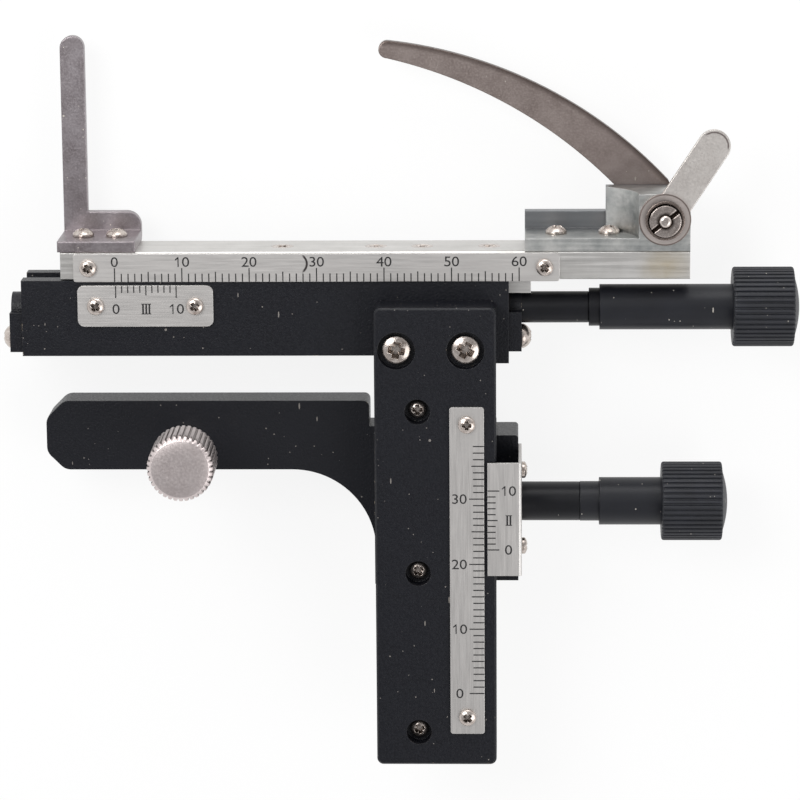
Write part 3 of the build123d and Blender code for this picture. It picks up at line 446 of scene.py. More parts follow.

# each finish's recess shade colour is painted shade, which darkens its recesses and corners
finishes = {
    "castingPaint": blackPaint("bakedBlackEnamel", {
        "colour": "#07080f", "faded": "#0d0f17", "ior": 1.39, "roughness": 0.4,
        "grain": 0.3, "grainDepth": 0.06, "edge": 0.12, "wornEdge": "#4b494a", "primer": "#b3a48f",
        "dust": "#7d7873", "specks": 0.42}),
    "tubeLacquer": blackTube("blackTubeLacquer", {
        "colour": "#04050a", "faded": "#090a11", "ior": 1.37, "roughness": 0.4,
        "dust": "#a9a49c", "specks": 0.3}),
    "sleeveLacquer": blackTube("blackSleeveLacquer", {
        "colour": "#0b0d14", "faded": "#12141c", "ior": 1.43, "roughness": 0.42,
        "dust": "#a9a49c", "specks": 0.4}),
    "knobPlastic": moulded("mouldedBlackAbs", {
        "colour": "#12141a", "faded": "#1b1d25", "roughness": 0.5, "dust": "#9c978f", "specks": 0.5}),
    "plateAlongX": metal("satinAluminiumAlongX", {
        "colour": "#d3d0cd", "shade": "#cecbc8", "streak": "#d8d5d2", "streaks": 0.2, "roughness": 0.42,
        "stretch": alongX, "grain": 0.2, "grainDepth": 0.001, "cloud": 7.0, "edge": 0.12,
        "scratchAndShadeArc": ("#4a4545", (16.76, 28.1, 11.6), 1.5, 0.2, (0, 28.1, 11.6), 17.5)}),
    "plateAlongY": metal("satinAluminiumAlongY", {
        "colour": "#d1cecb", "shade": "#cbc8c5", "streak": "#d6d3d0", "streaks": 0.2, "roughness": 0.42,
        "stretch": alongY, "grain": 0.2, "grainDepth": 0.0008, "cloud": 7.0, "edge": 0.12}),
    "milledBar": metal("milledAluminium", {
        "colour": "#d2d0cd", "shade": "#c2c0bc", "streak": "#e6e4e1", "streaks": 0.6, "roughness": 0.38,
        "stretch": alongX, "grain": 0.55, "grainDepth": 0.005, "cloud": 5.0, "edge": 0.12,
        "spot": ("#c2b394", (71.0, 27.6, 11.5), 4.5)}),
    "castBracket": metal("sawnAluminium", {
        "colour": "#c6c6c3", "shade": "#989b9a", "streak": "#dcdcd9", "streaks": 0.4, "roughness": 0.4,
        "stretch": alongX, "grain": 0.7, "grainDepth": 0.008, "cloud": 2.4, "edge": 0.15,
        # painted shade: lower faces darker, and painted shade in the corners
        "low": ("#828487", 2.0, 5.0), "recessShade": "#5b5957"}),
    "stripSteel": metal("tumbledSteelSheet", {
        "colour": "#a29b9e", "shade": "#857d7f", "streak": "#bab3b5", "streaks": 0.35, "roughness": 0.36,
        "grain": 0.3, "grainDepth": 0.004, "cloud": 2.6, "edge": 0.35,
        "dust": "#e2dbd1", "specks": 0.5, "recessShade": "#5a5150"}),
    "fingerSteel": metal("tarnishedSpringSteelPaintedEdgeShade", {
        "colour": "#a99c97", "shade": "#948782", "streak": "#bbb0ab", "roughness": 0.36,
        "grain": 0.3, "grainDepth": 0.004, "cloud": 3.0, "edge": 0.35,
        # painted shade: the curved finger's back edge is darkened near its arc, where the rounded edge turns
        # from the light
        "fades": [("#5c504b", fingerBack, arcRadius - 0.9, arcRadius)], "dust": "#d6cfc4", "specks": 0.35}),
    "leverNickel": metal("satinNickelPlate", {
        "colour": "#d5d0cb", "shade": "#c8c2bd", "streak": "#dfdad6", "roughness": 0.4,
        "grainDepth": 0.002, "cloud": 3.0, "edge": 0.25, "recessShade": "#7d746f",
        "fades": [("#bcb3ae", pivotTop, 4.4, 3.6)], "lines": [("#7b706b", pivotTop, 3.75, 0.14)],
        # painted shade on the rim of the lever's bent-up tip
        "scratchAndShadeArc": ("#827976", leverTip, leverRound - 0.38, 0.15, pivotTop, leverArm + 0.8)}),
    "clampNickel": metal("turnedNickelPlate", {
        "colour": "#d9cfcd", "shade": "#cbc0be", "streak": "#e4dbd9", "roughness": 0.36,
        "grain": 0.35, "grainDepth": 0.002, "cloud": 2.5, "edge": 0.1, "recessShade": "#3b3431"}),
    "brightNickel": metal("brightNickelPlate", {
        "colour": "#e2dad4", "shade": "#c5bab2", "streak": "#f0ebe6", "roughness": 0.22,
        "cloud": 1.0, "edge": 0.08, "recessShade": "#30271f"}),
    "screwNickel": metal("handledNickelScrew", {
        "colour": "#d6cdc6", "shade": "#a3968d", "streak": "#ece5df", "streaks": 0.4, "roughness": 0.24,
        "grainDepth": 0.006, "cloud": 0.8, "edge": 0.12, "recessShade": "#1f1814"}),
    "washerNickel": metal("wornNickelWasherPaintedCupShade", {
        "colour": "#8f827b", "shade": "#71655f", "streak": "#b3a8a1", "streaks": 0.4, "roughness": 0.26,
        "grain": 0.3, "cloud": 1.2, "edge": 0.25, "recessShade": "#241d19",
        # painted shade in the washer's cup, darker below its rim
        "low": ("#3a302b", washerLow + 0.45, washerLow + 0.88)}),
    "nutNickel": metal("turnedNickelNut", {
        "colour": "#c3b9b3", "shade": "#a0958f", "streak": "#d8cfc9", "streaks": 0.4, "roughness": 0.24,
        "grain": 0.3, "cloud": 1.0, "edge": 0.3, "recessShade": "#2b231e",
        # painted shade: the slot's floor dark, and a dark disc round the pin
        "low": ("#1d1714", nutLow + 0.68, nutLow + 1.1),
        "fades": [("#2b231e", (pivotX, pivotY, nutLow + 1.2), 1.45, 1.05)]}),
    "rackBrass": metal("machinedBrass", {
        "colour": "#cfa55a", "shade": "#b98f47", "streak": "#e3c17c", "streaks": 0.5, "roughness": 0.3,
        "stretch": alongX, "grain": 0.15, "cloud": 4.0, "edge": 0.06}),
    "turnedSteel": metal("turnedSteel", {
        "colour": "#c3c2c0", "shade": "#aeadab", "streak": "#d8d7d5", "streaks": 0.5, "roughness": 0.28,
        "stretch": (1, 0.03, 0.03), "grain": 0.2, "cloud": 5.0, "edge": 0.06}),
    "ink": printedInk("printedScaleInk", {"colour": "#100f11", "thin": "#1d1b1c"}),
}

wearing = {
    "castingPaint": ("base_bracket", "column_plate", "x_beam", "left_end_plate", "right_end_plate"),
    "tubeLacquer": ("y_bearing_tube", "x_bearing_tube", "x_shaft_collar"),
    "sleeveLacquer": ("y_shaft_collar", "y_knob_sleeve", "x_knob_sleeve"),
    "plateAlongX": ("x_scale_plate", "x_vernier_plate"),
    "plateAlongY": ("y_scale_plate", "y_vernier_plate"),
    "milledBar": ("holder_bar", "x_guide_tongue", "y_dovetail"),
    "castBracket": ("finger_bracket",),
    "stripSteel": ("fixed_finger",),
    "fingerSteel": ("spring_finger",),
    "leverNickel": ("finger_lever",),
    "clampNickel": ("clamp_washer",),
    "washerNickel": ("cup_washer",),
    "nutNickel": ("slotted_nut",),
    "brightNickel": ("pivot_pin",),
    "rackBrass": ("y_pinion", "y_rack", "lead_nut"),
    "turnedSteel": ("y_shaft", "locating_pins", "torsion_spring"),
}
for finish, names in wearing.items():
    for name in names:
        dress(nodes[name], finishes[finish])
print("materials on the solids")


# Turned pieces: a profile spun round Z, then grooves cut by one node tree

def spin(name, profile, segments, material):
    # profile rows: height, radius and how far the grooves cut there, all in mm
    mesh = bpy.data.meshes.new(name)
    work = bmesh.new()
    cut = work.verts.layers.float.new("cut")
    rings = []
    for height, radius, share in profile:
        count = 1 if radius == 0 else segments
        ring = []
        for step in range(count):
            angle = 2 * pi * step / segments
            vert = work.verts.new((radius * cos(angle) * mm, radius * sin(angle) * mm, height * mm))
            vert[cut] = share
            ring.append(vert)
        rings.append(ring)
    for low, high in zip(rings, rings[1:]):
        for step in range(segments):
            after = (step + 1) % segments
            corners = [low[step % len(low)], low[after % len(low)],
                       high[after % len(high)], high[step % len(high)]]
            unique = list(dict.fromkeys(corners))
            if len(unique) > 2:
                work.faces.new(unique)
    bmesh.ops.recalc_face_normals(work, faces=work.faces)
    work.to_mesh(mesh)
    work.free()
    piece = addPiece(name, mesh)
    dress(piece, material)
    return piece


def startTree(name, inputs, result):
    tree = bpy.data.node_groups.new(name, "GeometryNodeTree")
    for label, kind in inputs.items():
        tree.interface.new_socket(name=label, in_out="INPUT", socket_type="NodeSocket" + kind)
    tree.interface.new_socket(name=result, in_out="OUTPUT", socket_type="NodeSocketGeometry")
    return tree, addNode(tree, "NodeGroupInput").outputs


def endTree(tree, geometry, material):
    real = addNode(tree, "GeometryNodeRealizeInstances", {0: geometry}).outputs[0]
    dressed = addNode(tree, "GeometryNodeSetMaterial", {"Geometry": real, "Material": material}).outputs[0]
    addNode(tree, "NodeGroupOutput", {0: dressed})
    return tree


def namedValue(tree, name, kind):
    return addNode(tree, "GeometryNodeInputNamedAttribute", values={"Name": name}, data_type=kind).outputs[0]


def grooveTree():
    tree, given = startTree("cutGrooves", {
        "Turned": "Geometry", "Ridges": "Float", "Depth": "Float", "Turns per Metre": "Float",
        "Crest": "Float", "Root": "Float", "Finish": "Material"}, "Grooved")
    place = addNode(tree, "GeometryNodeInputPosition").outputs[0]
    parts = addNode(tree, "ShaderNodeSeparateXYZ", {0: place}).outputs
    around = mathNode(tree, "MULTIPLY", mathNode(tree, "ARCTAN2", parts[1], parts[0]), given["Ridges"])
    turns = mathNode(tree, "MULTIPLY", parts[2], given["Turns per Metre"])
    phase = mathNode(tree, "SUBTRACT", around, mathNode(tree, "MULTIPLY", turns, 2 * pi))
    groove = addNode(tree, "ShaderNodeMapRange", {
        "Value": mathNode(tree, "COSINE", phase), "From Min": given["Crest"], "From Max": given["Root"]},
        {"To Min": 0.0, "To Max": 1.0}, interpolation_type="SMOOTHSTEP").outputs[0]
    share = mathNode(tree, "MULTIPLY", groove, namedValue(tree, "cut", "FLOAT"))
    depth = mathNode(tree, "MULTIPLY", share, given["Depth"])
    flat = addNode(tree, "ShaderNodeCombineXYZ", {0: parts[0], 1: parts[1]}).outputs[0]
    outward = addNode(tree, "ShaderNodeVectorMath", {0: flat}, operation="NORMALIZE").outputs[0]
    inward = mathNode(tree, "MULTIPLY", depth, -1.0)
    move = addNode(tree, "ShaderNodeVectorMath", {0: outward, "Scale": inward}, operation="SCALE").outputs[0]
    moved = addNode(tree, "GeometryNodeSetPosition", {"Geometry": given["Turned"], "Offset": move}).outputs[0]
    return endTree(tree, moved, given["Finish"])


def runTree(piece, tree, values, name):
    keys = {item.name: item.identifier for item in tree.interface.items_tree if item.in_out == "INPUT"}
    modifier = piece.modifiers.new("build", "NODES")
    modifier.node_group = tree
    for label, value in values.items():
        modifier[keys[label]] = value
    return asPlainMesh(piece, name)


def cutGrooves(blank, name, ridges, depth, flank, turns=0.0):
    # flank: where a groove's side starts and ends, on the cosine of its place between two ridges
    return runTree(blank, grooves, {
        "Ridges": float(ridges), "Depth": depth * mm, "Turns per Metre": turns,
        "Crest": flank[0], "Root": flank[1], "Finish": blank.data.materials[0]}, name)


def layAlong(piece, place, direction):
    spot = Matrix.Translation(Vector(place) * mm)
    turn = Vector((0, 0, 1)).rotation_difference(Vector(direction)).to_matrix().to_4x4()
    piece.data.transform(spot @ turn)
    return piece


def roundedEnd(height, radius, rounding, up, share=0.0, steps=5):
    rows = []
    for step in range(steps + 1):
        bend = pi / 2 * step / steps
        if up:
            rows.append((height - rounding * (1 - sin(bend)), radius - rounding * (1 - cos(bend)), share))
        else:
            rows.append((height + rounding * (1 - cos(bend)), radius - rounding * (1 - sin(bend)), share))
    return rows


grooves = grooveTree()
knobs = {
    "diameter": 11.9, "length": 9.1, "dome": 0.85, "domeInset": 1.1, "rounding": 0.35,
    "ribs": 45, "ribDepth": 0.28, "ribFlank": (0.2, -0.75), "hubInset": 1.2, "rimWidth": 0.75,
}


def makeKnob(name, node, body):
    size = knobs
    low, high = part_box(node)
    radius = size["diameter"] / 2
    domeRadius = radius - size["domeInset"]
    rows = [(0, 0, 0), (0, radius - size["hubInset"], 0)]
    rows += roundedEnd(0, radius, size["rounding"], False, 1)
    rows += [(size["length"] * step / 8, radius, 1) for step in range(1, 8)]
    rows += roundedEnd(size["length"], radius, size["rounding"], True, 1)
    rows += [(size["length"], radius - size["rimWidth"], 0), (size["length"], domeRadius, 0)]
    bulge = (domeRadius ** 2 + size["dome"] ** 2) / (2 * size["dome"])
    for step in range(1, 13):
        radiusHere = domeRadius * (1 - step / 12)
        rise = size["length"] + size["dome"] - bulge + (bulge ** 2 - radiusHere ** 2) ** 0.5
        rows.append((rise, radiusHere, 0))
    turned = spin(name + "Blank", rows, size["ribs"] * 8, finishes["knobPlastic"])
    knob = cutGrooves(turned, name, size["ribs"], size["ribDepth"], size["ribFlank"])
    middle = (low + high) / 2 / mm
    layAlong(knob, (low.x / mm, middle.y, middle.z), (1, 0, 0))
    smoothBelow(knob.data, 40)
    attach(knob, body)
    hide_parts(node)


makeKnob("yKnobRibbed", "y_knob", "y_drive")
makeKnob("xKnobRibbed", "x_knob", "x_drive")
print("knobs turned")

clampScrew = {
    "thread": 4.0, "threadLength": 4.0, "pitch": 0.7, "threadDepth": 0.35, "threadFlank": (0.9, -0.9),
    "leadIn": 0.3, "runOut": 0.1, "neck": 3.3, "shoulder": 7.1, "shoulderHeight": 1.0,
    "head": 9.9, "headHeight": 8.2, "ridges": 36, "ridgeDepth": 0.32, "ridgeFlank": (-0.1, -0.95),
    # rows at the head's two ends: along from the end, in from the side, share of the knurl's depth
    "foot": ((0, 0.95, 0), (0.3, 0.15, 0.3), (0.65, 0, 1)),
    "crown": ((0.75, 0, 1), (0.5, 0.08, 0.9), (0.28, 0.26, 0.6), (0.12, 0.53, 0.25), (0.04, 0.65, 0),
              (0, 0.75, 0), (0, 2.8, 0)),
}


def makeClampScrew(size):
    low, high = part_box("clamp_screw")
    top = high.z / mm
    headLow = top - size["headHeight"]
    threadR = size["thread"] / 2
    tip = -size["threadLength"]
    cutFrom = tip + size["leadIn"]
    cutLength = -size["runOut"] - cutFrom
    steps = int(size["threadLength"] / size["pitch"] * 10)
    rows = [(tip, 0, 0), (tip, threadR - size["threadDepth"], 0)]
    rows += [(cutFrom + cutLength * step / steps, threadR, 1) for step in range(steps + 1)]
    neckR = size["neck"] / 2
    shoulderR = size["shoulder"] / 2
    shoulderLow = headLow - size["shoulderHeight"]
    rows += [(0, threadR - 0.2, 0), (0, neckR, 0), (shoulderLow, neckR, 0), (shoulderLow, shoulderR, 0),
             (headLow, shoulderR, 0)]
    blank = spin("clampThreadBlank", rows, 64, finishes["brightNickel"])
    screw = cutGrooves(blank, "clampScrewThreaded", 1, size["threadDepth"], size["threadFlank"],
                       perMetre(size["pitch"]))
    headR = size["head"] / 2
    rows = [(headLow, 0, 0)]
    rows += [(headLow + along, headR - inset, share) for along, inset, share in size["foot"]]
    rows += [(headLow + size["headHeight"] * step / 10, headR, 1) for step in range(2, 9)]
    rows += [(top - along, headR - inset, share) for along, inset, share in size["crown"]]
    rows += [(top, 0, 0)]
    blank = spin("clampHeadBlank", rows, size["ridges"] * 10, finishes["clampNickel"])
    head = cutGrooves(blank, "clampHeadKnurled", size["ridges"], size["ridgeDepth"], size["ridgeFlank"])
    for piece in (screw, head):
        smoothBelow(piece.data, 35)
        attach(piece, "clamp_screw_body")
    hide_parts("clamp_screw")


makeClampScrew(clampScrew)
print("clamp screw turned")

leadScrew = {
    "diameter": 3.0, "journal": 2.0, "shaft": 2.4, "starts": 4, "lead": 4.0,
    "threadDepth": 0.3, "threadFlank": (0.6, -0.6), "endGap": 0.1, "chamfer": 0.3, "steps": 290,
}


def makeLeadScrew(size):
    low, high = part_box("lead_screw")
    axis = (low + high) / 2 / mm
    start = low.x / mm
    left, right = (end.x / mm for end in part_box("x_beam"))
    left += size["endGap"]
    right -= size["endGap"]
    radius = size["diameter"] / 2
    journalR = size["journal"] / 2
    shaftR = size["shaft"] / 2
    chamfer = size["chamfer"]
    span = right - left - 2 * chamfer
    rows = [(start, 0, 0), (start, journalR, 0), (left, journalR, 0), (left, radius - chamfer, 0)]
    for step in range(size["steps"] + 1):
        rows.append((left + chamfer + span * step / size["steps"], radius, 1))
    rows += [(right, radius - chamfer, 0), (right, shaftR, 0), (high.x / mm, shaftR, 0), (high.x / mm, 0, 0)]
    blank = spin("leadBlank", rows, 40, finishes["turnedSteel"])
    screw = cutGrooves(blank, "leadScrewThreaded", size["starts"], size["threadDepth"], size["threadFlank"],
                       perMetre(size["lead"] / size["starts"]))
    layAlong(screw, (0, axis.y, axis.z), (1, 0, 0))
    smoothBelow(screw.data, 50)
    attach(screw, "x_drive")
    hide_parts("lead_screw")


makeLeadScrew(leadScrew)
print("lead screw cut")

gapShadeRing = {"clear": 0.01, "bore": 2.42, "inset": 0.04}


def makeGreaseRing(name, tube, collar, body):
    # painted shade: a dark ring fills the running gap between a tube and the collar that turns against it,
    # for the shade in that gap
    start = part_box(tube)[1].x / mm + gapShadeRing["clear"]
    low, high = (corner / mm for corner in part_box(collar))
    axis = (low + high) / 2
    tubeLow, tubeHigh = (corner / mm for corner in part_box(tube))
    outer = min(high.z - low.z, tubeHigh.z - tubeLow.z) / 2 - gapShadeRing["inset"]
    inner = gapShadeRing["bore"] / 2
    thick = low.x - start - gapShadeRing["clear"]
    rows = [(0, inner, 0), (0, outer - thick / 3, 0), (thick / 3, outer, 0), (thick * 2 / 3, outer, 0),
            (thick, outer - thick / 3, 0), (thick, inner, 0), (0, inner, 0)]
    ring = spin(name, rows, 64, finishes["tubeLacquer"])
    layAlong(ring, (start, axis.y, axis.z), (1, 0, 0))
    smoothBelow(ring.data, 40)
    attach(ring, body)


makeGreaseRing("xGreaseRing", "x_bearing_tube", "x_shaft_collar", "x_drive")
makeGreaseRing("yGreaseRing", "y_bearing_tube", "y_shaft_collar", "y_drive")
print("gap shade rings laid")


# Cross recess screws, one pattern for each size, placed by a node tree

screwSizes = {
    # head, head height, shank, length, recess width, recess reach, recess depth
    "big": (4.2, 1.5, 2.5, 6.5, 1.3, 3.05, 1.25),
    "small": (2.6, 1.0, 1.4, 5.0, 0.8, 2.0, 0.8),
    "scale": (2.5, 0.9, 1.4, 2.0, 0.75, 1.85, 0.7),
    "finger": (3.2, 1.2, 2.0, 5.0, 0.85, 2.2, 0.95),
    "dome": (3.7, 1.55, 2.0, 5.0, 0.85, 2.3, 1.0),
    "sunk": (3.3, 1.0, 2.0, 5.5, 0.85, 2.3, 0.8),
}
recessTaper = 0.45  # width of the recess's floor, as a share of its mouth
rimShares = {"big": 0.7, "small": 0.6, "scale": 0.55, "finger": 0.35, "dome": 0.2}
facing = {"up": (0, 0, 0), "rear": (-pi / 2, 0, 0), "right": (0, pi / 2, 0), "left": (0, -pi / 2, 0)}


def screwPattern(kind):
    head, height, shank, length, width, reach, depth = screwSizes[kind]
    radius = head / 2
    rows = [(-length, 0, 0), (-length, shank / 2 - 0.15, 0), (-length + 0.2, shank / 2, 0)]
    if kind == "sunk":
        top = 0.0
        rows += [(-height, shank / 2, 0), (-0.08, radius - 0.02, 0), (0, radius - 0.08, 0), (0, 0, 0)]
    else:
        top = height
        rim = height * rimShares[kind]
        rise = height - rim
        ball = (radius ** 2 + rise ** 2) / (2 * rise)
        half = asin(radius / ball)
        rows += [(0, shank / 2, 0), (0, radius - 0.06, 0), (0.06, radius, 0), (rim - 0.05, radius, 0)]
        for step in range(1, 10):
            bend = half * (1 - step / 10)
            rows.append((height - ball * (1 - cos(bend)), ball * sin(bend), 0))
        rows += [(height, 0, 0)]
    blank = spin("screwBlank", [(h / mm, r / mm, 0) for h, r, s in rows], 40, finishes["screwNickel"])
    cutter = crossCutter(width, reach, top + 0.3, top - depth)
    cutter.hide_render = True
    carve = blank.modifiers.new("recess", "BOOLEAN")
    carve.operation = "DIFFERENCE"
    carve.solver = "EXACT"
    carve.object = cutter
    screw = asPlainMesh(blank, "screwPattern" + kind.capitalize())
    bpy.data.objects.remove(cutter)
    screw.data.transform(Matrix.Scale(mm, 4))
    smoothBelow(screw.data, 32)
    return screw


def crossCutter(width, reach, top, bottom):
    w = width / 2
    r = reach / 2
    corners = [(r, -w), (r, w), (w, w)]
    while len(corners) < 12:
        x, y = corners[-3]
        corners.append((-y, x))
    points = [(x, y, top) for x, y in corners]
    points += [(x * recessTaper, y * recessTaper, bottom) for x, y in corners]
    count = len(corners)
    faces = [tuple(range(count)), tuple(range(2 * count - 1, count - 1, -1))]
    faces += [(i, i + count, (i + 1) % count + count, (i + 1) % count) for i in range(count)]
    mesh = bpy.data.meshes.new("crossCutter")
    mesh.from_pydata(points, [], faces)
    work = bmesh.new()
    work.from_mesh(mesh)
    bmesh.ops.recalc_face_normals(work, faces=work.faces)
    work.to_mesh(mesh)
    work.free()
    return addPiece("crossCutter", mesh)


def screwTree():
    tree, given = startTree("placeScrews", {
        "Places": "Geometry", "Screw": "Object", "Slot Seed": "Int", "Finish": "Material"}, "Screws")
    model = addNode(tree, "GeometryNodeObjectInfo", {"Object": given["Screw"]}).outputs["Geometry"]
    turn = namedValue(tree, "turn", "FLOAT_VECTOR")
    turned = addNode(tree, "FunctionNodeEulerToRotation", {0: turn}).outputs[0]
    draw = addNode(tree, "FunctionNodeRandomValue", {"Seed": given["Slot Seed"]}, {2: 0.0, 3: pi / 2},
                   data_type="FLOAT").outputs[1]
    slot = addNode(tree, "ShaderNodeCombineXYZ", {2: draw}).outputs[0]
    slotTurn = addNode(tree, "FunctionNodeEulerToRotation", {0: slot}).outputs[0]
    aimed = addNode(tree, "FunctionNodeRotateRotation", {0: turned, 1: slotTurn},
                    rotation_space="LOCAL").outputs[0]
    placed = addNode(tree, "GeometryNodeInstanceOnPoints", {
        "Points": given["Places"], "Instance": model, "Rotation": aimed}).outputs[0]
    return endTree(tree, placed, given["Finish"])


sunkPlaces = [((x, 29.8, 6.55), "rear") for x in (14.3, 28.3, 35.2, 45.2)]  # of the tongue screws
screwSets = {
    # node it replaces: piece name, body, pattern, side it faces, count, seed of its slots
    "beam_screws": ("beamScrewsCrossed", "y_carriage", "big", "up", 2, 3),
    "rack_screws": ("rackScrewsCrossed", "y_carriage", "small", "up", 3, 8),
    "y_scale_screws": ("yScaleScrewsCrossed", "y_carriage", "scale", "up", 2, 5),
    "x_vernier_screws": ("xVernierScrewsCrossed", "y_carriage", "scale", "up", 2, 11),
    "x_scale_screws": ("xScaleScrewsCrossed", "x_carriage", "scale", "up", 2, 2),
    "y_vernier_screws": ("yVernierScrewsCrossed", "base", "scale", "right", 2, 6),
    "fixed_finger_screws": ("fixedFingerScrewsCrossed", "x_carriage", "finger", "rear", 2, 4),
    "bracket_screws": ("bracketScrewsCrossed", "x_carriage", "finger", "rear", 2, 7),
}
depthAxis = {"up": 2, "rear": 1, "right": 0, "left": 0}


def screwRow(node, kind, side, count):
    # evenly spaced seats between the ends of the group's box
    low, high = (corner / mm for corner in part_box(node))
    head, height = screwSizes[kind][:2]
    deep = depthAxis[side]
    first, last = (low + high) / 2, (low + high) / 2
    along = max((axis for axis in range(3) if axis != deep), key=lambda axis: high[axis] - low[axis])
    first[along] = low[along] + head / 2
    last[along] = high[along] - head / 2
    first[deep] = last[deep] = high[deep] - height
    return [(tuple(first.lerp(last, step / (count - 1))), side) for step in range(count)]


def endScrewPlaces():
    low, high = (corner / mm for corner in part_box("end_plate_screws"))
    height = screwSizes["dome"][1]
    middle = (low + high) / 2
    return [((low.x + height, middle.y, middle.z), "left"), ((high.x - height, middle.y, middle.z), "right")]


def placeScrews(node, name, body, kind, rows, seed):
    mesh = bpy.data.meshes.new(name + "Places")
    mesh.from_pydata([Vector(place) * mm for place, side in rows], [], [])
    turns = mesh.attributes.new("turn", "FLOAT_VECTOR", "POINT")
    for index, (place, side) in enumerate(rows):
        turns.data[index].vector = facing[side]
    group = runTree(addPiece(name + "Places", mesh), placing, {
        "Screw": patterns[kind], "Slot Seed": seed, "Finish": finishes["screwNickel"]}, name)
    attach(group, body)
    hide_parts(node)


placing = screwTree()
patterns = {kind: screwPattern(kind) for kind in screwSizes}
for node, (name, body, kind, side, count, seed) in screwSets.items():
    placeScrews(node, name, body, kind, screwRow(node, kind, side, count), seed)
placeScrews("end_plate_screws", "endPlateScrewsCrossed", "y_carriage", "dome", endScrewPlaces(), 1)
placeScrews("tongue_screws", "tongueScrewsCrossed", "x_carriage", "sunk", sunkPlaces, 9)
for pattern in patterns.values():
    bpy.data.objects.remove(pattern)
print("screws placed")


# Printed scales: ticks by a node tree, numbers from the built in font

def tickTree():
    tree, given = startTree("scaleTicks", {
        "Count": "Int", "Pitch": "Float", "Short": "Float", "Middle": "Float", "Long": "Float",
        "Width": "Float", "Thickness": "Float", "Ink": "Material"}, "Ticks")
    step = addNode(tree, "ShaderNodeCombineXYZ", {0: given["Pitch"]}).outputs[0]
    line = addNode(tree, "GeometryNodeMeshLine", {"Count": given["Count"], "Offset": step},
                   mode="OFFSET").outputs[0]
    index = addNode(tree, "GeometryNodeInputIndex").outputs[0]
    reach = given["Short"]
    for every, label in ((5.0, "Middle"), (10.0, "Long")):  # each fifth tick is longer, each tenth longest
        isOne = mathNode(tree, "LESS_THAN", mathNode(tree, "MODULO", index, every), 0.5)
        reach = addNode(tree, "ShaderNodeMix", {0: isOne, 2: reach, 3: given[label]},
                        data_type="FLOAT").outputs[0]
    size = addNode(tree, "ShaderNodeCombineXYZ", {
        0: given["Width"], 1: reach, 2: given["Thickness"]}).outputs[0]
    cube = addNode(tree, "GeometryNodeMeshCube", values={"Size": (1, 1, 1)}).outputs[0]
    stroke = addNode(tree, "GeometryNodeTransform", {"Geometry": cube},
                     {"Translation": (0, 0.5, 0)}).outputs[0]
    placed = addNode(tree, "GeometryNodeInstanceOnPoints", {
        "Points": line, "Instance": stroke, "Scale": size}).outputs[0]
    return endTree(tree, placed, given["Ink"])


printing = {"thickness": 0.03, "digit": 1.48, "stroke": 0.17, "widen": 1.14, "advance": 0.8}
scales = {
    # start: first tick, step: towards the last tick, grow: where a tick points, all seen on the plate
    "xScalePrint": {
        "plate": "x_scale_plate", "body": "x_carriage", "start": (-10.37, 25.42), "step": (1, 0),
        "grow": (0, 1), "count": 61, "pitch": 1.0, "ticks": (1.22, 1.5, 2.06),
        "labels": [(str(n), n, 2.98) for n in range(0, 61, 10)]},
    "xVernierPrint": {
        "plate": "x_vernier_plate", "body": "y_carriage", "start": (-10.27, 24.82), "step": (1, 0),
        "grow": (0, -1), "count": 11, "pitch": 0.9, "ticks": (1.06, 1.45, 1.85),
        "labels": [("0", 0, 3.5), ("III", 5, 3.5), ("10", 10, 3.5)]},
    "yScalePrint": {
        "plate": "y_scale_plate", "body": "y_carriage", "start": (44.38, -36.3), "step": (0, 1),
        "grow": (-1, 0), "count": 39, "pitch": 1.0, "ticks": (1.62, 1.85, 2.2),
        "labels": [(str(n), n, 3.68) for n in range(0, 31, 10)]},
    "yVernierPrint": {
        "plate": "y_vernier_plate", "body": "base", "start": (44.92, -14.0), "step": (0, 1), "grow": (1, 0),
        "count": 11, "pitch": 0.9, "ticks": (1.2, 1.48, 1.75),
        "labels": [("0", 0, 3.1), ("II", 5, 3.15), ("10", 10, 3.1)]},
}


def inkStrip(work, x0, x1, y0, y1, thick):
    spot = Matrix.Translation(((x0 + x1) / 2, (y0 + y1) / 2, 0))
    bmesh.ops.create_cube(work, size=1.0, matrix=spot @ Matrix.Diagonal((x1 - x0, y1 - y0, thick, 1)))


def romanMesh(bars, height, thick):
    work = bmesh.new()
    gap = height * 0.32
    stem = height * 0.17
    for bar in range(bars):
        x = (bar - (bars - 1) / 2) * gap
        inkStrip(work, x - stem / 2, x + stem / 2, -height / 2, height / 2, thick)
    half = (bars - 1) / 2 * gap + stem * 0.95
    for y in (-height / 2, height / 2):
        inkStrip(work, -half, half, y - height * 0.04, y + height * 0.04, thick * 1.1)
    mesh = bpy.data.meshes.new("roman")
    work.to_mesh(mesh)
    work.free()
    return mesh


def glyphMesh(letter, height, thick):
    if letter == "1":
        return oneMesh(height, thick)
    curve = bpy.data.curves.new("digit", "FONT")
    curve.body = letter
    curve.resolution_u = 4
    flat = asPlainMesh(addPiece("digit", curve), "digitFlat")
    mesh = flat.data
    bpy.data.objects.remove(flat)
    low, high = (Vector(map(pick, *(v.co for v in mesh.vertices))) for pick in (min, max))
    factor = height / (high.y - low.y)
    widen = Matrix.Diagonal((factor * printing["widen"], factor, factor, 1))
    mesh.transform(widen @ Matrix.Translation(-(low + high) / 2))
    work = bmesh.new()
    work.from_mesh(mesh)
    bmesh.ops.remove_doubles(work, verts=work.verts, dist=height * 0.0005)
    solid = bmesh.ops.extrude_face_region(work, geom=list(work.faces))
    raised = [item for item in solid["geom"] if isinstance(item, bmesh.types.BMVert)]
    bmesh.ops.translate(work, verts=raised, vec=(0, 0, thick))
    bmesh.ops.translate(work, verts=work.verts, vec=(0, 0, -thick / 2))
    work.to_mesh(mesh)
    work.free()
    return mesh


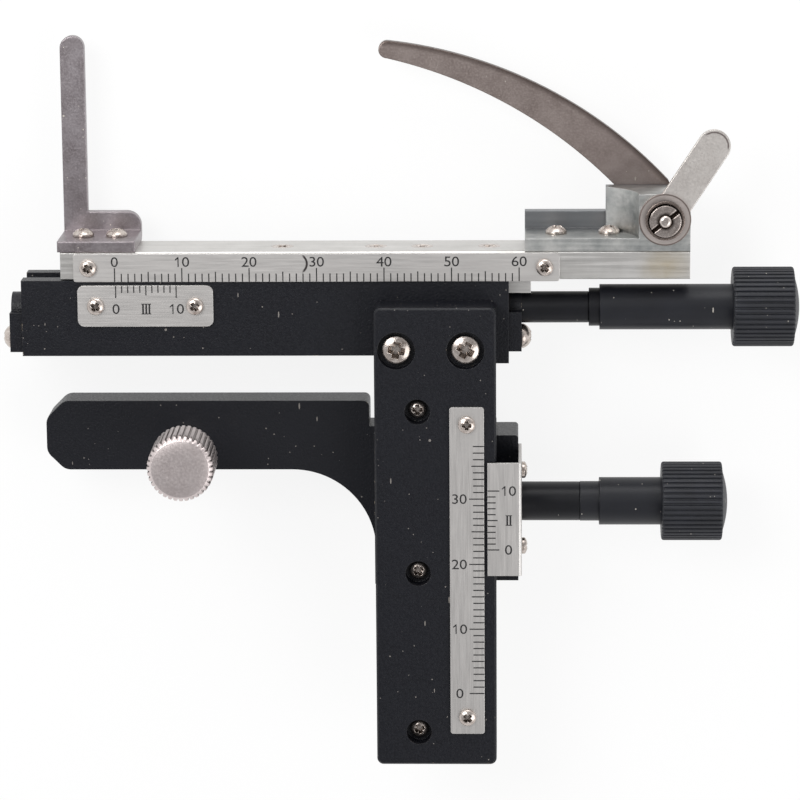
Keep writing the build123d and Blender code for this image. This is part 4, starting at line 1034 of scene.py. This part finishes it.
def oneMesh(height, thick):
    # a stem with a slanted flag, which the built in font leaves off
    half = height / 2
    stroke = height * 0.11
    right = height * 0.1
    left = right - height * 0.36
    flag = half - height * 0.24
    outline = [(right - stroke, -half), (right, -half), (right, half), (right - stroke * 0.8, half),
               (left, flag), (left, flag - stroke * 1.1), (right - stroke, half - height * 0.2)]
    work = bmesh.new()
    front = [work.verts.new((x, y, thick / 2)) for x, y in outline]
    back = [work.verts.new((x, y, -thick / 2)) for x, y in outline]
    work.faces.new(front)
    work.faces.new(back[::-1])
    for index in range(len(outline)):
        after = (index + 1) % len(outline)
        work.faces.new((front[index], back[index], back[after], front[after]))
    mesh = bpy.data.meshes.new("one")
    work.to_mesh(mesh)
    work.free()
    return mesh


def joinMeshes(name, meshes):
    work = bmesh.new()
    for mesh in meshes:
        work.from_mesh(mesh)
        bpy.data.meshes.remove(mesh)
    bmesh.ops.recalc_face_normals(work, faces=work.faces)
    joined = bpy.data.meshes.new(name)
    work.to_mesh(joined)
    work.free()
    piece = addPiece(name, joined)
    dress(piece, finishes["ink"])
    return piece


def printScale(name, look):
    thick = printing["thickness"] * mm
    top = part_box(look["plate"])[1].z
    step = Vector((*look["step"], 0))
    grow = Vector((*look["grow"], 0))
    start = Vector((*look["start"], 0)) * mm
    short, middle, long = (length * mm for length in look["ticks"])
    blank = addPiece(name + "Blank", bpy.data.meshes.new(name + "Blank"))
    ticks = runTree(blank, ticking, {
        "Count": look["count"], "Pitch": look["pitch"] * mm, "Short": short, "Middle": middle, "Long": long,
        "Width": printing["stroke"] * mm, "Thickness": thick, "Ink": finishes["ink"]}, name + "Ticks")
    frameTurn = Matrix((step, grow, step.cross(grow))).transposed().to_4x4()
    ticks.data.transform(Matrix.Translation((start.x, start.y, top)) @ frameTurn)
    meshes = [ticks.data.copy()]
    bpy.data.objects.remove(ticks)
    for text, tick, reach in look["labels"]:
        height = printing["digit"] * mm
        spot = start + step * tick * look["pitch"] * mm + grow * reach * mm
        if text.startswith("I"):
            letters = [romanMesh(len(text), height, thick)]
        else:
            letters = [glyphMesh(letter, height, thick) for letter in text]
        for index, mesh in enumerate(letters):
            shift = (index - (len(letters) - 1) / 2) * height * printing["advance"]
            mesh.transform(Matrix.Translation((spot.x + shift, spot.y, top)))
            meshes.append(mesh)
    piece = joinMeshes(name, meshes)
    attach(piece, look["body"])


ticking = tickTree()
for name, look in scales.items():
    printScale(name, look)
print("scales printed")
